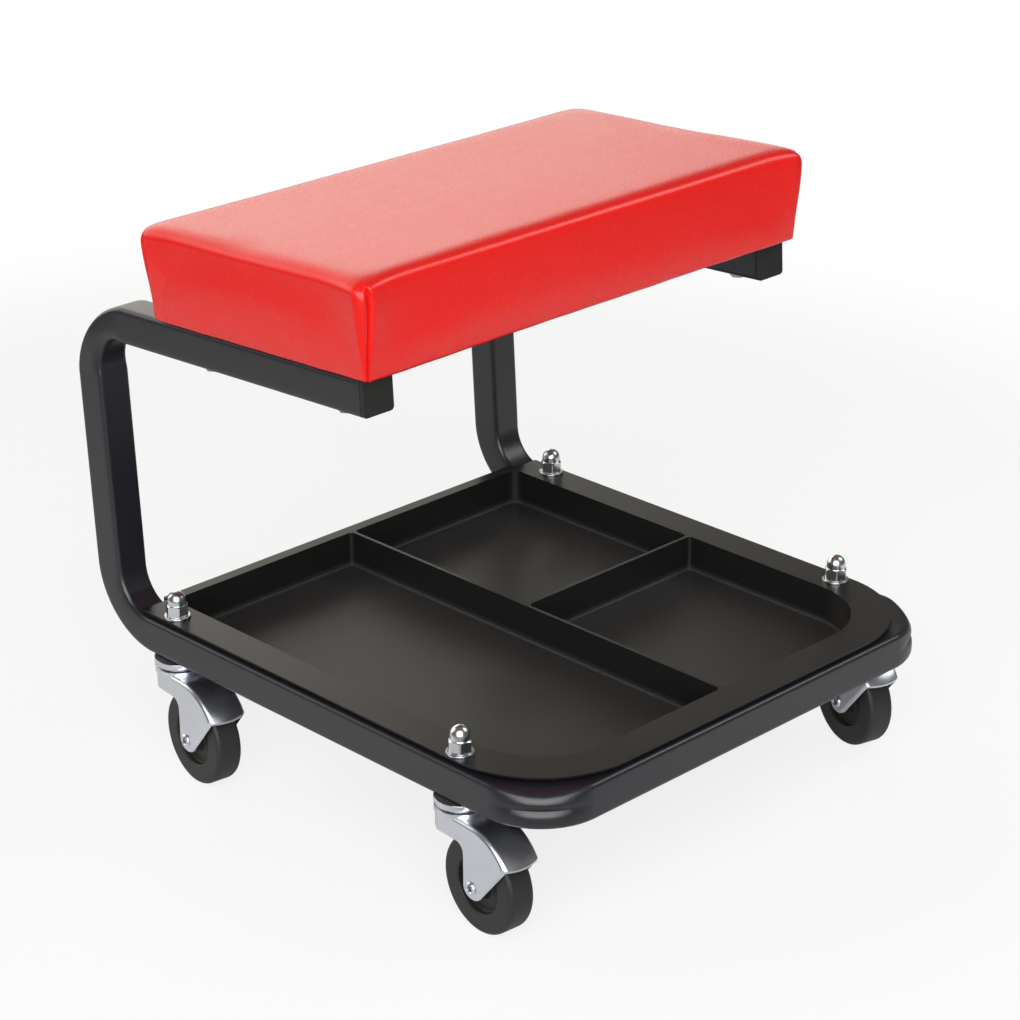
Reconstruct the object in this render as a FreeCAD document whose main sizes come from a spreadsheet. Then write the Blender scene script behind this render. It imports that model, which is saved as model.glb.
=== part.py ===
import FreeCAD, Part
import math
import os

# Creeper seat, in millimetres. X runs across, the arms' free ends point to -Y, Z is up and the ground
# is at zero. The origin lies on the ground under the middle of the whole seat.

os.makedirs("parts", exist_ok=True)
doc = FreeCAD.newDocument("creeper_seat")
V = FreeCAD.Vector

# Driving sizes. Angles are in degrees.

SIZES = (
    # Bent square tube
    ("tube_side", 25.4),
    ("tube_wall", 1.6),
    ("tube_corner", 3.0),
    ("frame_width", 395.5),
    ("frame_depth", 442.9),
    ("rail_height", 85.9),
    ("side_height", 250.7),
    ("arm_length", 301.5),
    ("seat_tilt", 3.0),
    ("front_bend", 35.0),
    ("lower_bend", 43.5),
    ("upper_bend", 42.0),
    # End caps of the arms
    ("cap_head", 3.5),
    ("cap_plug", 14.0),
    ("cap_wall", 2.0),
    ("cap_gap", 0.1),
    # Tool tray
    ("tray_rim", 4.0),
    ("tray_setback", 3.0),
    ("tray_front_round", 75.0),
    ("tray_gap", 0.5),
    ("tray_wall", 2.5),
    ("tray_floor", 2.0),
    ("tray_depth", 26.0),
    ("tray_well_front_round", 56.0),
    ("tray_well_rear_round", 9.0),
    ("tray_divider_round", 3.5),
    ("tray_rear_setback", 37.6),
    ("tray_rear_lip", 9.0),
    ("tray_run_on", 10.0),
    ("divider_wall", 2.6),
    ("cross_divider_place", 213.4),
    ("tray_draft", 2.0),
    ("tray_cove", 2.2),
    ("tray_edge_round", 1.2),
    # Casters
    ("front_stem_place", 85.3),
    ("rear_stem_setback", 70.6),
    ("front_left_yaw", -4.3),
    ("front_right_yaw", -14.4),
    ("rear_left_yaw", -6.4),
    ("rear_right_yaw", 6.4),
    ("stem_diameter", 9.525),
    ("stem_grip", 11.5),
    ("stem_head_diameter", 18.0),
    ("stem_head_thickness", 3.0),
    ("stem_hole_gap", 0.3),
    ("race_diameter", 35.5),
    ("race_height", 6.2),
    ("race_round", 3.5),
    ("bearing_gap", 0.3),
    ("ball_diameter", 4.0),
    ("ball_circle_diameter", 23.0),
    ("cup_diameter", 35.0),
    ("cup_height", 1.6),
    ("running_fit", 0.05),
    ("fork_width", 30.0),
    ("fork_back", 17.5),
    ("fork_sheet", 2.0),
    ("fork_shoulder_round", 3.0),
    ("skirt_drop", 16.8),
    ("skirt_rise", 6.0),
    ("skirt_flat", 5.5),
    ("hood_shoulder", 47.0),
    ("hood_bend", 38.0),
    ("hood_reach", 59.8),
    ("hood_tip_drop", 18.5),
    ("hood_tip_round", 1.5),
    ("cheek_round", 6.0),
    ("lobe_radius", 9.5),
    ("trail", 27.3),
    ("wheel_diameter", 68.0),
    ("wheel_width", 20.0),
    ("tread_round", 3.5),
    ("rim_depth", 5.0),
    ("rim_wall", 14.5),
    ("rim_round", 1.5),
    ("hub_diameter", 19.0),
    ("hub_width", 24.0),
    ("bush_diameter", 9.0),
    ("bush_gap", 0.02),
    ("axle_diameter", 6.0),
    ("axle_head_diameter", 9.2),
    ("axle_head_thickness", 2.2),
    # Acorn nuts and washers
    ("nut_flats", 14.3),
    ("nut_hex_height", 8.6),
    ("nut_height", 17.6),
    ("nut_dome_diameter", 12.6),
    ("nut_bore_room", 0.3),
    ("thread_gap", 0.05),
    ("washer_diameter", 18.6),
    ("washer_thickness", 1.6),
    # Seat
    ("seat_side_overhang", 7.7),
    ("seat_depth", 220.4),
    ("seat_overhang", 13.6),
    ("cushion_thickness", 67.5),
    ("cushion_edge", 8.0),
    ("cushion_corner", 9.0),
    ("skin", 1.2),
    ("soft_gap", 0.3),
    ("hem_width", 37.0),
    ("board_thickness", 12.0),
    ("board_inset", 7.5),
    ("board_corner", 12.0),
    ("bolt_diameter", 6.35),
    ("bolt_setback", 43.8),
    ("bolt_flats", 11.1),
    ("bolt_head_height", 2.6),
    ("bolt_hole_gap", 0.25),
    ("bolt_washer_diameter", 16.0),
    ("bolt_washer_thickness", 1.2),
    ("tee_barrel_diameter", 8.0),
    ("tee_barrel_length", 9.0),
    ("tee_flange_diameter", 18.0),
    ("tee_flange_thickness", 1.2),
    ("tee_recess", 1.5),
    ("staple_crown", 9.5),
    ("staple_wire", 1.2),
    ("staple_thickness", 0.25),
    ("staple_from_hem_edge", 5.0),
    ("staple_pitch", 38.0),
    # Overrun of every cut, and how near two measured lengths count as equal
    ("overrun", 5.0),
    ("match_tolerance", 0.001),
)

# Shares of the cushion's height, and of its edge for how far each level is drawn in.
CUSHION_LEVEL_SHARES = (
    (0.0, 0.45),
    (0.03, 0.30),
    (0.12, 0.20),
    (0.45, 0.06),
    (0.75, 0.0),
    (0.85, 0.06),
    (0.90, 0.20),
    (0.935, 0.50),
    (0.957, 1.1),
    (0.972, 2.4),
    (0.988, 5.0),
    (1.0, 9.0),
)
NEAR_FULL_ROUND_SHARE = 0.97
BALL_COUNT = 12
SIDES = (("left", -1), ("right", 1))
CASTER_CORNERS = (
    ("front_left", -1, "front", "front_left_yaw"),
    ("front_right", 1, "front", "front_right_yaw"),
    ("rear_left", -1, "rear", "rear_left_yaw"),
    ("rear_right", 1, "rear", "rear_right_yaw"),
)

sheet = doc.addObject("Spreadsheet::Sheet", "sizes")
for row, (alias, number) in enumerate(SIZES, start=1):
    sheet.set("A%d" % row, alias)
    sheet.set("B%d" % row, str(number))
    sheet.setAlias("B%d" % row, alias)
doc.recompute()


def size(alias):
    return float(sheet.get(alias))


def near(length, other):
    return abs(length - other) < size("match_tolerance")


def bind(feature, **expressions):
    """Ties properties of a feature to cells: the word 'sizes' is the sheet."""
    for name, expression in expressions.items():
        feature.setExpression(name, expression)


nodes = []


def finish(piece, label, place=None):
    """Gives a finished sub-part its label and place, and keeps it for the export."""
    piece.Label = label
    if place is not None:
        piece.Placement = place
    nodes.append(piece)
    return piece


# Sketches and bodies


def new_body(label):
    body = doc.addObject("PartDesign::Body", label)
    body.Label = label
    return body


def origin_of(body, role):
    for feature in body.Origin.OriginFeatures:
        if feature.Role == role:
            return feature
    raise ValueError(role)


def new_sketch(body, role, name, x=0, y=0, lift=0):
    """Sketch on an origin plane, moved along the plane and lifted along its normal."""
    sketch = body.newObject("Sketcher::SketchObject", name)
    sketch.AttachmentSupport = [(origin_of(body, role), "")]
    sketch.MapMode = "FlatFace"
    sketch.AttachmentOffset = FreeCAD.Placement(V(x, y, lift), FreeCAD.Rotation())
    return sketch


def outline(corners, closed=True):
    """Lines and tangent arcs through corners (x, y, radius) in a plane."""
    count = len(corners)
    trimmed = []
    for index, (x, y, radius) in enumerate(corners):
        here = V(x, y, 0)
        is_end = not closed and index in (0, count - 1)
        if radius == 0 or is_end:
            trimmed.append((here, here, None))
            continue
        before = (V(*corners[index - 1][:2], 0) - here).normalize()
        after = (V(*corners[(index + 1) % count][:2], 0) - here).normalize()
        opening = before.getAngle(after)
        start = here + before * (radius / math.tan(opening / 2))
        end = here + after * (radius / math.tan(opening / 2))
        bisector = (before + after).normalize()
        centre = here + bisector * (radius / math.sin(opening / 2))
        middle = centre - bisector * radius
        trimmed.append((start, end, Part.Arc(start, middle, end)))
    shapes = []
    last = count if closed else count - 1
    for index, (start, end, arc) in enumerate(trimmed):
        if arc is not None:
            shapes.append(arc)
        if index < last:
            following = trimmed[(index + 1) % count][0]
            if end.distanceToPoint(following) > Part.Vertex(end).Tolerance:
                shapes.append(Part.LineSegment(end, following))
    return shapes


def rectangle(half_x, half_y, radius=0, centre_x=0, centre_y=0):
    return [
        (centre_x - half_x, centre_y - half_y, radius),
        (centre_x + half_x, centre_y - half_y, radius),
        (centre_x + half_x, centre_y + half_y, radius),
        (centre_x - half_x, centre_y + half_y, radius),
    ]


def circle(x, y, radius):
    return Part.Circle(V(x, y, 0), V(0, 0, 1), radius)


def pad(body, sketch, length, name="pad", symmetric=False, reverse=False):
    feature = body.newObject("PartDesign::Pad", name)
    feature.Profile = sketch
    if symmetric:
        feature.SideType = "Symmetric"
    feature.Reversed = reverse
    bind(feature, Length=length)
    return feature


def pocket(body, sketch, length, name="pocket", symmetric=False, reverse=False):
    feature = body.newObject("PartDesign::Pocket", name)
    feature.Profile = sketch
    if symmetric:
        feature.SideType = "Symmetric"
    feature.Reversed = reverse
    bind(feature, Length=length)
    return feature


def round_edges(body, base, radius, chosen, name="rounds"):
    """Rounds the edges of the base feature that the test picks."""
    doc.recompute()
    picked = ["Edge%d" % (n + 1) for n, edge in enumerate(base.Shape.Edges) if chosen(edge)]
    if not picked:
        raise ValueError("no edges to round on " + body.Label)
    feature = body.newObject("PartDesign::Fillet", name)
    feature.Base = (base, picked)
    bind(feature, Radius=radius)
    return feature


def turned(label, corners, axis):
    """A body turned about X or Z from half its section: (along X, radius) or (radius, along Z)."""
    body = new_body(label)
    plane = "XY_Plane" if axis == "X" else "XZ_Plane"
    sketch = new_sketch(body, plane, label + "_section")
    sketch.addGeometry(outline(corners), False)
    feature = body.newObject("PartDesign::Revolution", "turn")
    feature.Profile = sketch
    feature.ReferenceAxis = (origin_of(body, axis + "_Axis"), [""])
    feature.Angle = 360
    return body


def cut(base, tool, name):
    feature = doc.addObject("Part::Cut", name)
    feature.Base = base
    feature.Tool = tool
    return feature


def fuse(pieces, name):
    feature = doc.addObject("Part::MultiFuse", name)
    feature.Shapes = pieces
    return feature


def group(pieces, label):
    """Separate solids that share one node."""
    feature = doc.addObject("Part::Compound", label)
    feature.Links = pieces
    return finish(feature, label)


def cylinder(name, radius, height, place):
    feature = doc.addObject("Part::Cylinder", name)
    bind(feature, Radius=radius, Height=height)
    feature.Placement = place
    return feature


def at(x, y, z):
    return FreeCAD.Placement(V(x, y, z), FreeCAD.Rotation())


# Lines of the frame. The side's corner is where the planes of the arms' tops and of the uprights' backs
# meet. Along is the way up the upright, back is the way that its rear face looks.

tube_half = size("tube_side") / 2
stem_x = size("frame_width") / 2 - tube_half
tilt = math.radians(size("seat_tilt"))
along = V(0, math.sin(tilt), math.cos(tilt))
back = V(0, math.cos(tilt), -math.sin(tilt))
rail_top = size("rail_height") + size("tube_side")

upright_foot = V(0, size("frame_depth"), size("rail_height"))
side_corner = upright_foot + along * size("side_height")
upper_bend_outside = size("upper_bend") + tube_half
upper_bend_centre = side_corner - along * upper_bend_outside - back * upper_bend_outside
overall_depth = upper_bend_centre.y + upper_bend_outside
front_y = -overall_depth / 2

shift = V(0, front_y, 0)
upright_foot += shift
side_corner += shift

seat_centre = side_corner - back * (size("arm_length") + size("seat_overhang") - size("seat_depth") / 2)
seat_place = FreeCAD.Placement(seat_centre, FreeCAD.Rotation(V(1, 0, 0), -size("seat_tilt")))
arm_front = size("seat_overhang") - size("seat_depth") / 2
tube_front = arm_front + size("cap_head")

rail_line_z = size("rail_height") + tube_half
upright_line = upright_foot - back * tube_half
climb = (rail_line_z - upright_line.z) / along.z
lower_corner = upright_line + along * climb
lower_turn = math.pi / 2 - tilt
rail_end_y = lower_corner.y - size("lower_bend") * math.tan(lower_turn / 2)

stem_rows = {
    "front": front_y + size("front_stem_place"),
    "rear": front_y + size("frame_depth") - size("rear_stem_setback"),
}
stem_places = [(way * stem_x, stem_rows[row]) for _, way, row, _ in CASTER_CORNERS]
seat_width = size("frame_width") + 2 * size("seat_side_overhang")
bolt_y = size("seat_depth") / 2 - size("bolt_setback")
bolt_places = [(side * stem_x, way * bolt_y) for _, side in SIDES for way in (-1, 1)]


def frame_tube():
    """One tube: the U of the rails and, on each side, rail, upright and arm, swept and mirrored."""
    body = new_body("bent_tube")
    join_y = (stem_rows["front"] + stem_rows["rear"]) / 2
    section = new_sketch(body, "XZ_Plane", "tube_section", stem_x, rail_line_z, -join_y)
    inner_half = tube_half - size("tube_wall")
    inner_round = size("tube_corner") - size("tube_wall")
    section.addGeometry(outline(rectangle(tube_half, tube_half, size("tube_corner"))), False)
    section.addGeometry(outline(rectangle(inner_half, inner_half, inner_round)), False)

    plan = new_sketch(body, "XY_Plane", "rails_line", lift=rail_line_z)
    front_line_y = front_y + tube_half
    plan_corners = [
        (stem_x, join_y, 0),
        (stem_x, front_line_y, size("front_bend")),
        (-stem_x, front_line_y, size("front_bend")),
        (-stem_x, join_y, 0),
    ]
    plan.addGeometry(outline(plan_corners, closed=False), False)
    rails = body.newObject("PartDesign::AdditivePipe", "rails")
    rails.Profile = section
    rails.Spine = (plan, [])

    side = new_sketch(body, "YZ_Plane", "side_line", lift=stem_x)
    upper_corner = side_corner - along * tube_half - back * tube_half
    arm_end = seat_place.multVec(V(0, tube_front, -tube_half))
    side_corners = [
        (join_y, rail_line_z, 0),
        (lower_corner.y, lower_corner.z, size("lower_bend")),
        (upper_corner.y, upper_corner.z, size("upper_bend")),
        (arm_end.y, arm_end.z, 0),
    ]
    side.addGeometry(outline(side_corners, closed=False), False)
    right = body.newObject("PartDesign::AdditivePipe", "right_side")
    right.Profile = section
    right.Spine = (side, [])
    left = body.newObject("PartDesign::Mirrored", "left_side")
    left.Originals = [right]
    left.MirrorPlane = (origin_of(body, "YZ_Plane"), [""])
    body.Tip = left

    holes = []
    through = "sizes.tube_side + 2 * sizes.overrun"
    for x, y in stem_places:
        foot = at(x, y, size("rail_height") - size("overrun"))
        holes.append(cylinder("rail_hole", "sizes.stem_diameter / 2 + sizes.stem_hole_gap", through, foot))
    for x, y in bolt_places:
        foot = seat_place.multiply(at(x, y, -size("tube_side") - size("overrun")))
        holes.append(cylinder("arm_hole", "sizes.bolt_diameter / 2 + sizes.bolt_hole_gap", through, foot))
    finish(cut(body, fuse(holes, "tube_holes"), "frame_tube"), "frame_tube", at(0, 0, 0))


def end_cap(side_name, side):
    """Moulded plug: a head flush with the tube outside and a hollow plug inside it."""
    label = "arm_end_cap_" + side_name
    body = new_body(label)
    head = new_sketch(body, "XZ_Plane", "head_outline", side * stem_x, -tube_half, -tube_front)
    head.addGeometry(outline(rectangle(tube_half, tube_half, size("tube_corner"))), False)
    pad(body, head, "sizes.cap_head", "head")
    plug_half = tube_half - size("tube_wall") - size("cap_gap")
    plug = new_sketch(body, "XZ_Plane", "plug_outline", side * stem_x, -tube_half, -tube_front)
    plug_round = size("tube_corner") - size("tube_wall")
    plug.addGeometry(outline(rectangle(plug_half, plug_half, plug_round)), False)
    well_half = plug_half - size("cap_wall")
    plug.addGeometry(outline(rectangle(well_half, well_half)), False)
    pad(body, plug, "sizes.cap_plug", "plug", reverse=True)
    finish(body, label, seat_place)


def tool_tray():
    """Moulded tray: a rim that lies on the rails, a well between them and dividers in the well."""
    body = new_body("tool_tray")
    rim_x = size("frame_width") / 2 - size("tray_setback")
    between_x = size("frame_width") / 2 - size("tube_side") - size("tray_gap")
    rim_front_y = front_y + size("tray_setback")
    rim_side_end_y = rail_end_y + size("tray_run_on")
    rear_y = front_y + size("frame_depth") - size("tray_rear_setback")
    rim = new_sketch(body, "XY_Plane", "rim_outline", lift=rail_top)
    rim_corners = [
        (-rim_x, rim_front_y, size("tray_front_round")),
        (rim_x, rim_front_y, size("tray_front_round")),
        (rim_x, rim_side_end_y, size("tray_edge_round")),
        (between_x, rim_side_end_y, 0),
        (between_x, rear_y, size("tray_edge_round")),
        (-between_x, rear_y, size("tray_edge_round")),
        (-between_x, rim_side_end_y, 0),
        (-rim_x, rim_side_end_y, size("tray_edge_round")),
    ]
    rim.addGeometry(outline(rim_corners), False)
    pad(body, rim, "sizes.tray_rim", "rim")

    outer_front_y = front_y + size("tube_side") + size("tray_gap")
    well_x = between_x - size("tray_wall")
    well_front_y = outer_front_y + size("tray_wall")
    well_rear_y = rear_y - size("tray_rear_lip")
    outer_rear_y = well_rear_y + size("tray_wall")
    front_round = size("tray_well_front_round")
    rear_round = size("tray_well_rear_round")
    shell = new_sketch(body, "XY_Plane", "shell_outline", lift=rail_top)
    shell_corners = [
        (-between_x, outer_front_y, front_round + size("tray_wall")),
        (between_x, outer_front_y, front_round + size("tray_wall")),
        (between_x, outer_rear_y, rear_round + size("tray_wall")),
        (-between_x, outer_rear_y, rear_round + size("tray_wall")),
    ]
    shell.addGeometry(outline(shell_corners), False)
    below_rim = "sizes.tray_depth + sizes.tray_floor - sizes.tray_rim"
    shell_pad = pad(body, shell, below_rim, "shell", reverse=True)
    bind(shell_pad, TaperAngle="-sizes.tray_draft")

    divider_half = size("divider_wall") / 2
    cross_y = front_y + size("cross_divider_place")
    corner = size("tray_divider_round")
    wells = {
        "left_well": [
            (-well_x, well_front_y, front_round),
            (-divider_half, well_front_y, corner),
            (-divider_half, well_rear_y, corner),
            (-well_x, well_rear_y, rear_round),
        ],
        "front_right_well": [
            (divider_half, well_front_y, corner),
            (well_x, well_front_y, front_round),
            (well_x, cross_y - divider_half, corner),
            (divider_half, cross_y - divider_half, corner),
        ],
        "rear_right_well": [
            (divider_half, cross_y + divider_half, corner),
            (well_x, cross_y + divider_half, corner),
            (well_x, well_rear_y, rear_round),
            (divider_half, well_rear_y, corner),
        ],
    }
    rim_top = rail_top + size("tray_rim")
    for name, corners in wells.items():
        well = new_sketch(body, "XY_Plane", name + "_outline", lift=rim_top)
        well.addGeometry(outline(corners), False)
        feature = pocket(body, well, "sizes.tray_depth", name)
        bind(feature, TaperAngle="-sizes.tray_draft")

    # The rim's ends are hollowed under to follow the tube where it starts to rise.
    bend_inside = size("lower_bend") - tube_half - size("tray_gap")
    bend_z = rail_top + size("lower_bend") - tube_half
    for way in (-1, 1):
        scallop = new_sketch(body, "YZ_Plane", "rim_scallop", lift=way * between_x)
        run = size("tray_run_on") + size("overrun")
        low = V(rail_end_y, bend_z - bend_inside, 0)
        end = V(rail_end_y + run, bend_z - math.sqrt(bend_inside**2 - run**2), 0)
        half_run = run / 2
        middle = V(rail_end_y + half_run, bend_z - math.sqrt(bend_inside**2 - half_run**2), 0)
        floor_z = rail_top - size("overrun")
        scallop.addGeometry(
            [
                Part.Arc(low, middle, end),
                Part.LineSegment(end, V(end.x, floor_z, 0)),
                Part.LineSegment(V(end.x, floor_z, 0), V(low.x, floor_z, 0)),
                Part.LineSegment(V(low.x, floor_z, 0), low),
            ],
            False,
        )
        pocket(body, scallop, "sizes.tube_side + sizes.overrun", "scallop", reverse=way > 0)

    holes = new_sketch(body, "XY_Plane", "stem_holes", lift=rail_top)
    hole_radius = size("stem_diameter") / 2 + size("stem_hole_gap")
    for x, y in stem_places:
        holes.addGeometry(circle(x, y, hole_radius), False)
    stem_holes = pocket(body, holes, "2 * sizes.tray_rim", "stem_holes_cut", reverse=True)

    floor_z = rim_top - size("tray_depth")

    def is_cove(edge):
        box = edge.BoundBox
        return near(box.ZMin, floor_z) and near(box.ZMax, floor_z)

    round_edges(body, stem_holes, "sizes.tray_cove", is_cove, "coves")
    finish(body, "tool_tray", at(0, 0, 0))


# Seat. Its pieces are drawn in the seat's own frame, whose ground plane is the top of the arms.

hem_bottom = size("soft_gap")
hem_top = hem_bottom + size("skin")
board_bottom = hem_top + size("soft_gap")
board_top = board_bottom + size("board_thickness")
cushion_top = hem_bottom + size("cushion_thickness")


def cushion_loft(body, kind, name, drawn_in, bottom, top):
    """Lofts the cushion's levels: each is a rounded rectangle, drawn in by its share of the edge."""
    sections = []
    for level, (height_share, inset_share) in enumerate(CUSHION_LEVEL_SHARES):
        sketch = new_sketch(body, "XY_Plane", "%s_level_%d" % (name, level),
                            lift=bottom + (top - bottom) * height_share)
        inset = drawn_in + size("cushion_edge") * inset_share
        half_x = seat_width / 2 - inset
        half_y = size("seat_depth") / 2 - inset
        sketch.addGeometry(outline(rectangle(half_x, half_y, size("cushion_corner") - drawn_in)), False)
        sections.append(sketch)
    loft = body.newObject(kind, name)
    loft.Profile = sections[0]
    loft.Sections = sections[1:]
    loft.Ruled = True
    return loft


def seat_cover():
    """The vinyl skin, boxed and crowned, with a hem turned in under the board."""
    body = new_body("seat_cover")
    cushion_loft(body, "PartDesign::AdditiveLoft", "outside", 0, hem_bottom, cushion_top)
    cushion_loft(body, "PartDesign::SubtractiveLoft", "inside", size("skin"), hem_top,
                 cushion_top - size("skin"))
    opening = new_sketch(body, "XY_Plane", "hem_opening", lift=hem_bottom - size("skin"))
    half_x = seat_width / 2 - size("hem_width")
    half_y = size("seat_depth") / 2 - size("hem_width")
    opening.addGeometry(outline(rectangle(half_x, half_y, size("cushion_corner"))), False)
    for x, y in bolt_places:
        opening.addGeometry(circle(x, y, size("tee_barrel_diameter") / 2), False)
    pocket(body, opening, "2 * sizes.skin + sizes.soft_gap", "hem_cut", reverse=True)
    finish(body, "seat_cover", seat_place)


def seat_foam():
    body = new_body("seat_foam")
    inset = size("skin") + size("soft_gap")
    cushion_loft(body, "PartDesign::AdditiveLoft", "block", inset, hem_top, cushion_top - inset)
    below = new_sketch(body, "XY_Plane", "board_room", lift=board_top + size("soft_gap"))
    below.addGeometry(outline(rectangle(seat_width, size("seat_depth"))), False)
    pocket(body, below, "sizes.board_thickness + sizes.overrun", "board_cut")
    finish(body, "seat_foam", seat_place)


def seat_board():
    body = new_body("seat_board")
    sheet_outline = new_sketch(body, "XY_Plane", "board_outline", lift=board_bottom)
    half_x = seat_width / 2 - size("board_inset")
    half_y = size("seat_depth") / 2 - size("board_inset")
    sheet_outline.addGeometry(outline(rectangle(half_x, half_y, size("board_corner"))), False)
    pad(body, sheet_outline, "sizes.board_thickness", "board")
    barrels = new_sketch(body, "XY_Plane", "barrel_holes", lift=board_top)
    recesses = new_sketch(body, "XY_Plane", "flange_recesses", lift=board_top)
    for x, y in bolt_places:
        barrels.addGeometry(circle(x, y, size("tee_barrel_diameter") / 2 + size("thread_gap")), False)
        recesses.addGeometry(circle(x, y, size("tee_flange_diameter") / 2 + size("bolt_hole_gap")), False)
    pocket(body, barrels, "sizes.board_thickness + sizes.overrun", "barrel_holes_cut")
    pocket(body, recesses, "sizes.tee_recess", "flange_recesses_cut")
    finish(body, "seat_board", seat_place)


def hex_prism(name, flats, height, place):
    prism = doc.addObject("Part::Prism", name)
    prism.Polygon = 6
    bind(prism, Circumradius="%s / sqrt(3)" % flats, Height=height)
    prism.Placement = place
    return prism


def washer(name, outer, bore, thickness, place):
    ring = cylinder(name + "_disc", outer, thickness, at(0, 0, 0))
    hole = cylinder(name + "_bore", bore, thickness, at(0, 0, 0))
    piece = cut(ring, hole, name)
    piece.Placement = place
    return piece


def seat_fasteners():
    """Bolts with washers from under the arms into tee nuts let into the board's top."""
    bolts = []
    washers = []
    tee_nuts = []
    washer_bottom = -size("tube_side") - size("bolt_washer_thickness")
    head_bottom = washer_bottom - size("bolt_head_height")
    tee_top = board_top - size("tee_recess") + size("tee_flange_thickness")
    shank_top = board_top - size("tee_recess")
    shank_length = (
        "sizes.bolt_head_height + sizes.bolt_washer_thickness + sizes.tube_side + 2 * sizes.soft_gap"
        " + sizes.skin + sizes.board_thickness - sizes.tee_recess"
    )
    for x, y in bolt_places:
        head = hex_prism("bolt_head", "sizes.bolt_flats", "sizes.bolt_head_height", at(0, 0, head_bottom))
        shank = cylinder("bolt_shank", "sizes.bolt_diameter / 2", shank_length, at(0, 0, head_bottom))
        bolt = fuse([head, shank], "seat_bolt")
        bolt.Placement = seat_place.multiply(at(x, y, 0))
        bolts.append(bolt)
        washers.append(washer("seat_bolt_washer", "sizes.bolt_washer_diameter / 2",
                              "sizes.bolt_diameter / 2 + sizes.bolt_hole_gap", "sizes.bolt_washer_thickness",
                              seat_place.multiply(at(x, y, washer_bottom))))
        bore = size("bolt_diameter") / 2 + size("thread_gap")
        barrel = size("tee_barrel_diameter") / 2
        flange = size("tee_flange_diameter") / 2
        tee_corners = [
            (bore, tee_top - size("tee_barrel_length"), 0),
            (barrel, tee_top - size("tee_barrel_length"), 0),
            (barrel, shank_top, 0),
            (flange, shank_top, 0),
            (flange, tee_top, 0),
            (bore, tee_top, 0),
        ]
        tee_nut = turned("seat_tee_nut", tee_corners, "Z")
        tee_nut.Placement = seat_place.multiply(at(x, y, 0))
        tee_nuts.append(tee_nut)
    group(bolts, "seat_bolts")
    group(washers, "seat_bolt_washers")
    group(tee_nuts, "seat_tee_nuts")


def cover_staples():
    """Staple crowns that press the hem to the board, in rows between the arms."""
    crowns = []
    row_x = seat_width / 2 - size("hem_width") + size("staple_from_hem_edge")
    row_y = size("seat_depth") / 2 - size("hem_width") + size("staple_from_hem_edge")
    pitch = size("staple_pitch")
    long_count = int(row_x * 2 / pitch)
    short_count = int(row_y * 2 / pitch)
    places = []
    for way in (-1, 1):
        for index in range(long_count):
            places.append(((index - (long_count - 1) / 2) * pitch, way * row_y, 0))
        for index in range(short_count):
            places.append((way * row_x, (index - (short_count - 1) / 2) * pitch, 90))
    for x, y, turn in places:
        crown = doc.addObject("Part::Box", "staple")
        bind(crown, Length="sizes.staple_crown", Width="sizes.staple_wire", Height="sizes.staple_thickness")
        centred = at(-size("staple_crown") / 2, -size("staple_wire") / 2, -size("staple_thickness"))
        spot = FreeCAD.Placement(V(x, y, hem_bottom), FreeCAD.Rotation(V(0, 0, 1), turn))
        crown.Placement = seat_place.multiply(spot).multiply(centred)
        crowns.append(crown)
    group(crowns, "cover_staples")


# Acorn nuts on the caster stems, over the tray's rim


def stem_fasteners():
    washers = []
    nuts = []
    rim_top = rail_top + size("tray_rim")
    shoulder = size("nut_height") - size("nut_dome_diameter") / 2
    for x, y in stem_places:
        washers.append(washer("nut_washer", "sizes.washer_diameter / 2",
                              "sizes.stem_diameter / 2 + sizes.stem_hole_gap", "sizes.washer_thickness",
                              at(x, y, rim_top)))
        foot = at(0, 0, 0)
        hexagon = hex_prism("nut_hexagon", "sizes.nut_flats", "sizes.nut_hex_height", foot)
        neck = cylinder("nut_neck", "sizes.nut_dome_diameter / 2",
                        "sizes.nut_height - sizes.nut_dome_diameter / 2", foot)
        cap = doc.addObject("Part::Sphere", "nut_dome")
        bind(cap, Radius="sizes.nut_dome_diameter / 2")
        cap.Placement = at(0, 0, shoulder)
        blank = fuse([hexagon, neck, cap], "nut_blank")
        hole = cylinder("nut_bore", "sizes.stem_diameter / 2 + sizes.thread_gap",
                        "sizes.stem_grip + sizes.nut_bore_room", foot)
        nut = cut(blank, hole, "acorn_nut")
        nut.Placement = at(x, y, rim_top + size("washer_thickness"))
        nuts.append(nut)
    group(washers, "nut_washers")
    group(nuts, "acorn_nuts")


# Casters. Each piece is drawn with its stem on the Z axis, the wheel trailing to -Y.

axle_z = size("wheel_diameter") / 2
cup_top = size("rail_height") - size("race_height") - size("bearing_gap")
fork_top = cup_top - size("cup_height")
skirt_z = fork_top - size("skirt_drop")
hood_tip_z = fork_top - size("hood_tip_drop")
stem_radius = size("stem_diameter") / 2


def fork_side_outline():
    """Side view of the fork, forward of the stem to -Y: hood, rounded cheek lobe and rear skirt."""
    back_y = size("fork_back")
    lobe = size("lobe_radius")
    to_lobe = V(size("trail") - size("hood_reach"), axle_z - hood_tip_z, 0)
    slope = math.atan2(to_lobe.y, to_lobe.x) + math.asin(lobe / to_lobe.Length)
    drop = hood_tip_z - (axle_z - lobe)
    lobe_front = size("hood_reach") - drop / math.tan(slope)
    corners = [
        (-back_y, fork_top, 0),
        (size("hood_shoulder"), fork_top, size("hood_bend")),
        (size("hood_reach"), hood_tip_z, size("hood_tip_round")),
        (lobe_front, axle_z - lobe, lobe * NEAR_FULL_ROUND_SHARE),
        (size("trail") - lobe, axle_z - lobe, lobe * NEAR_FULL_ROUND_SHARE),
        (size("trail") - lobe, skirt_z, size("cheek_round")),
        (-size("skirt_flat"), skirt_z, 0),
        (-back_y, skirt_z + size("skirt_rise"), 0),
    ]
    return [(-forward, height, radius) for forward, height, radius in corners]


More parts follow.
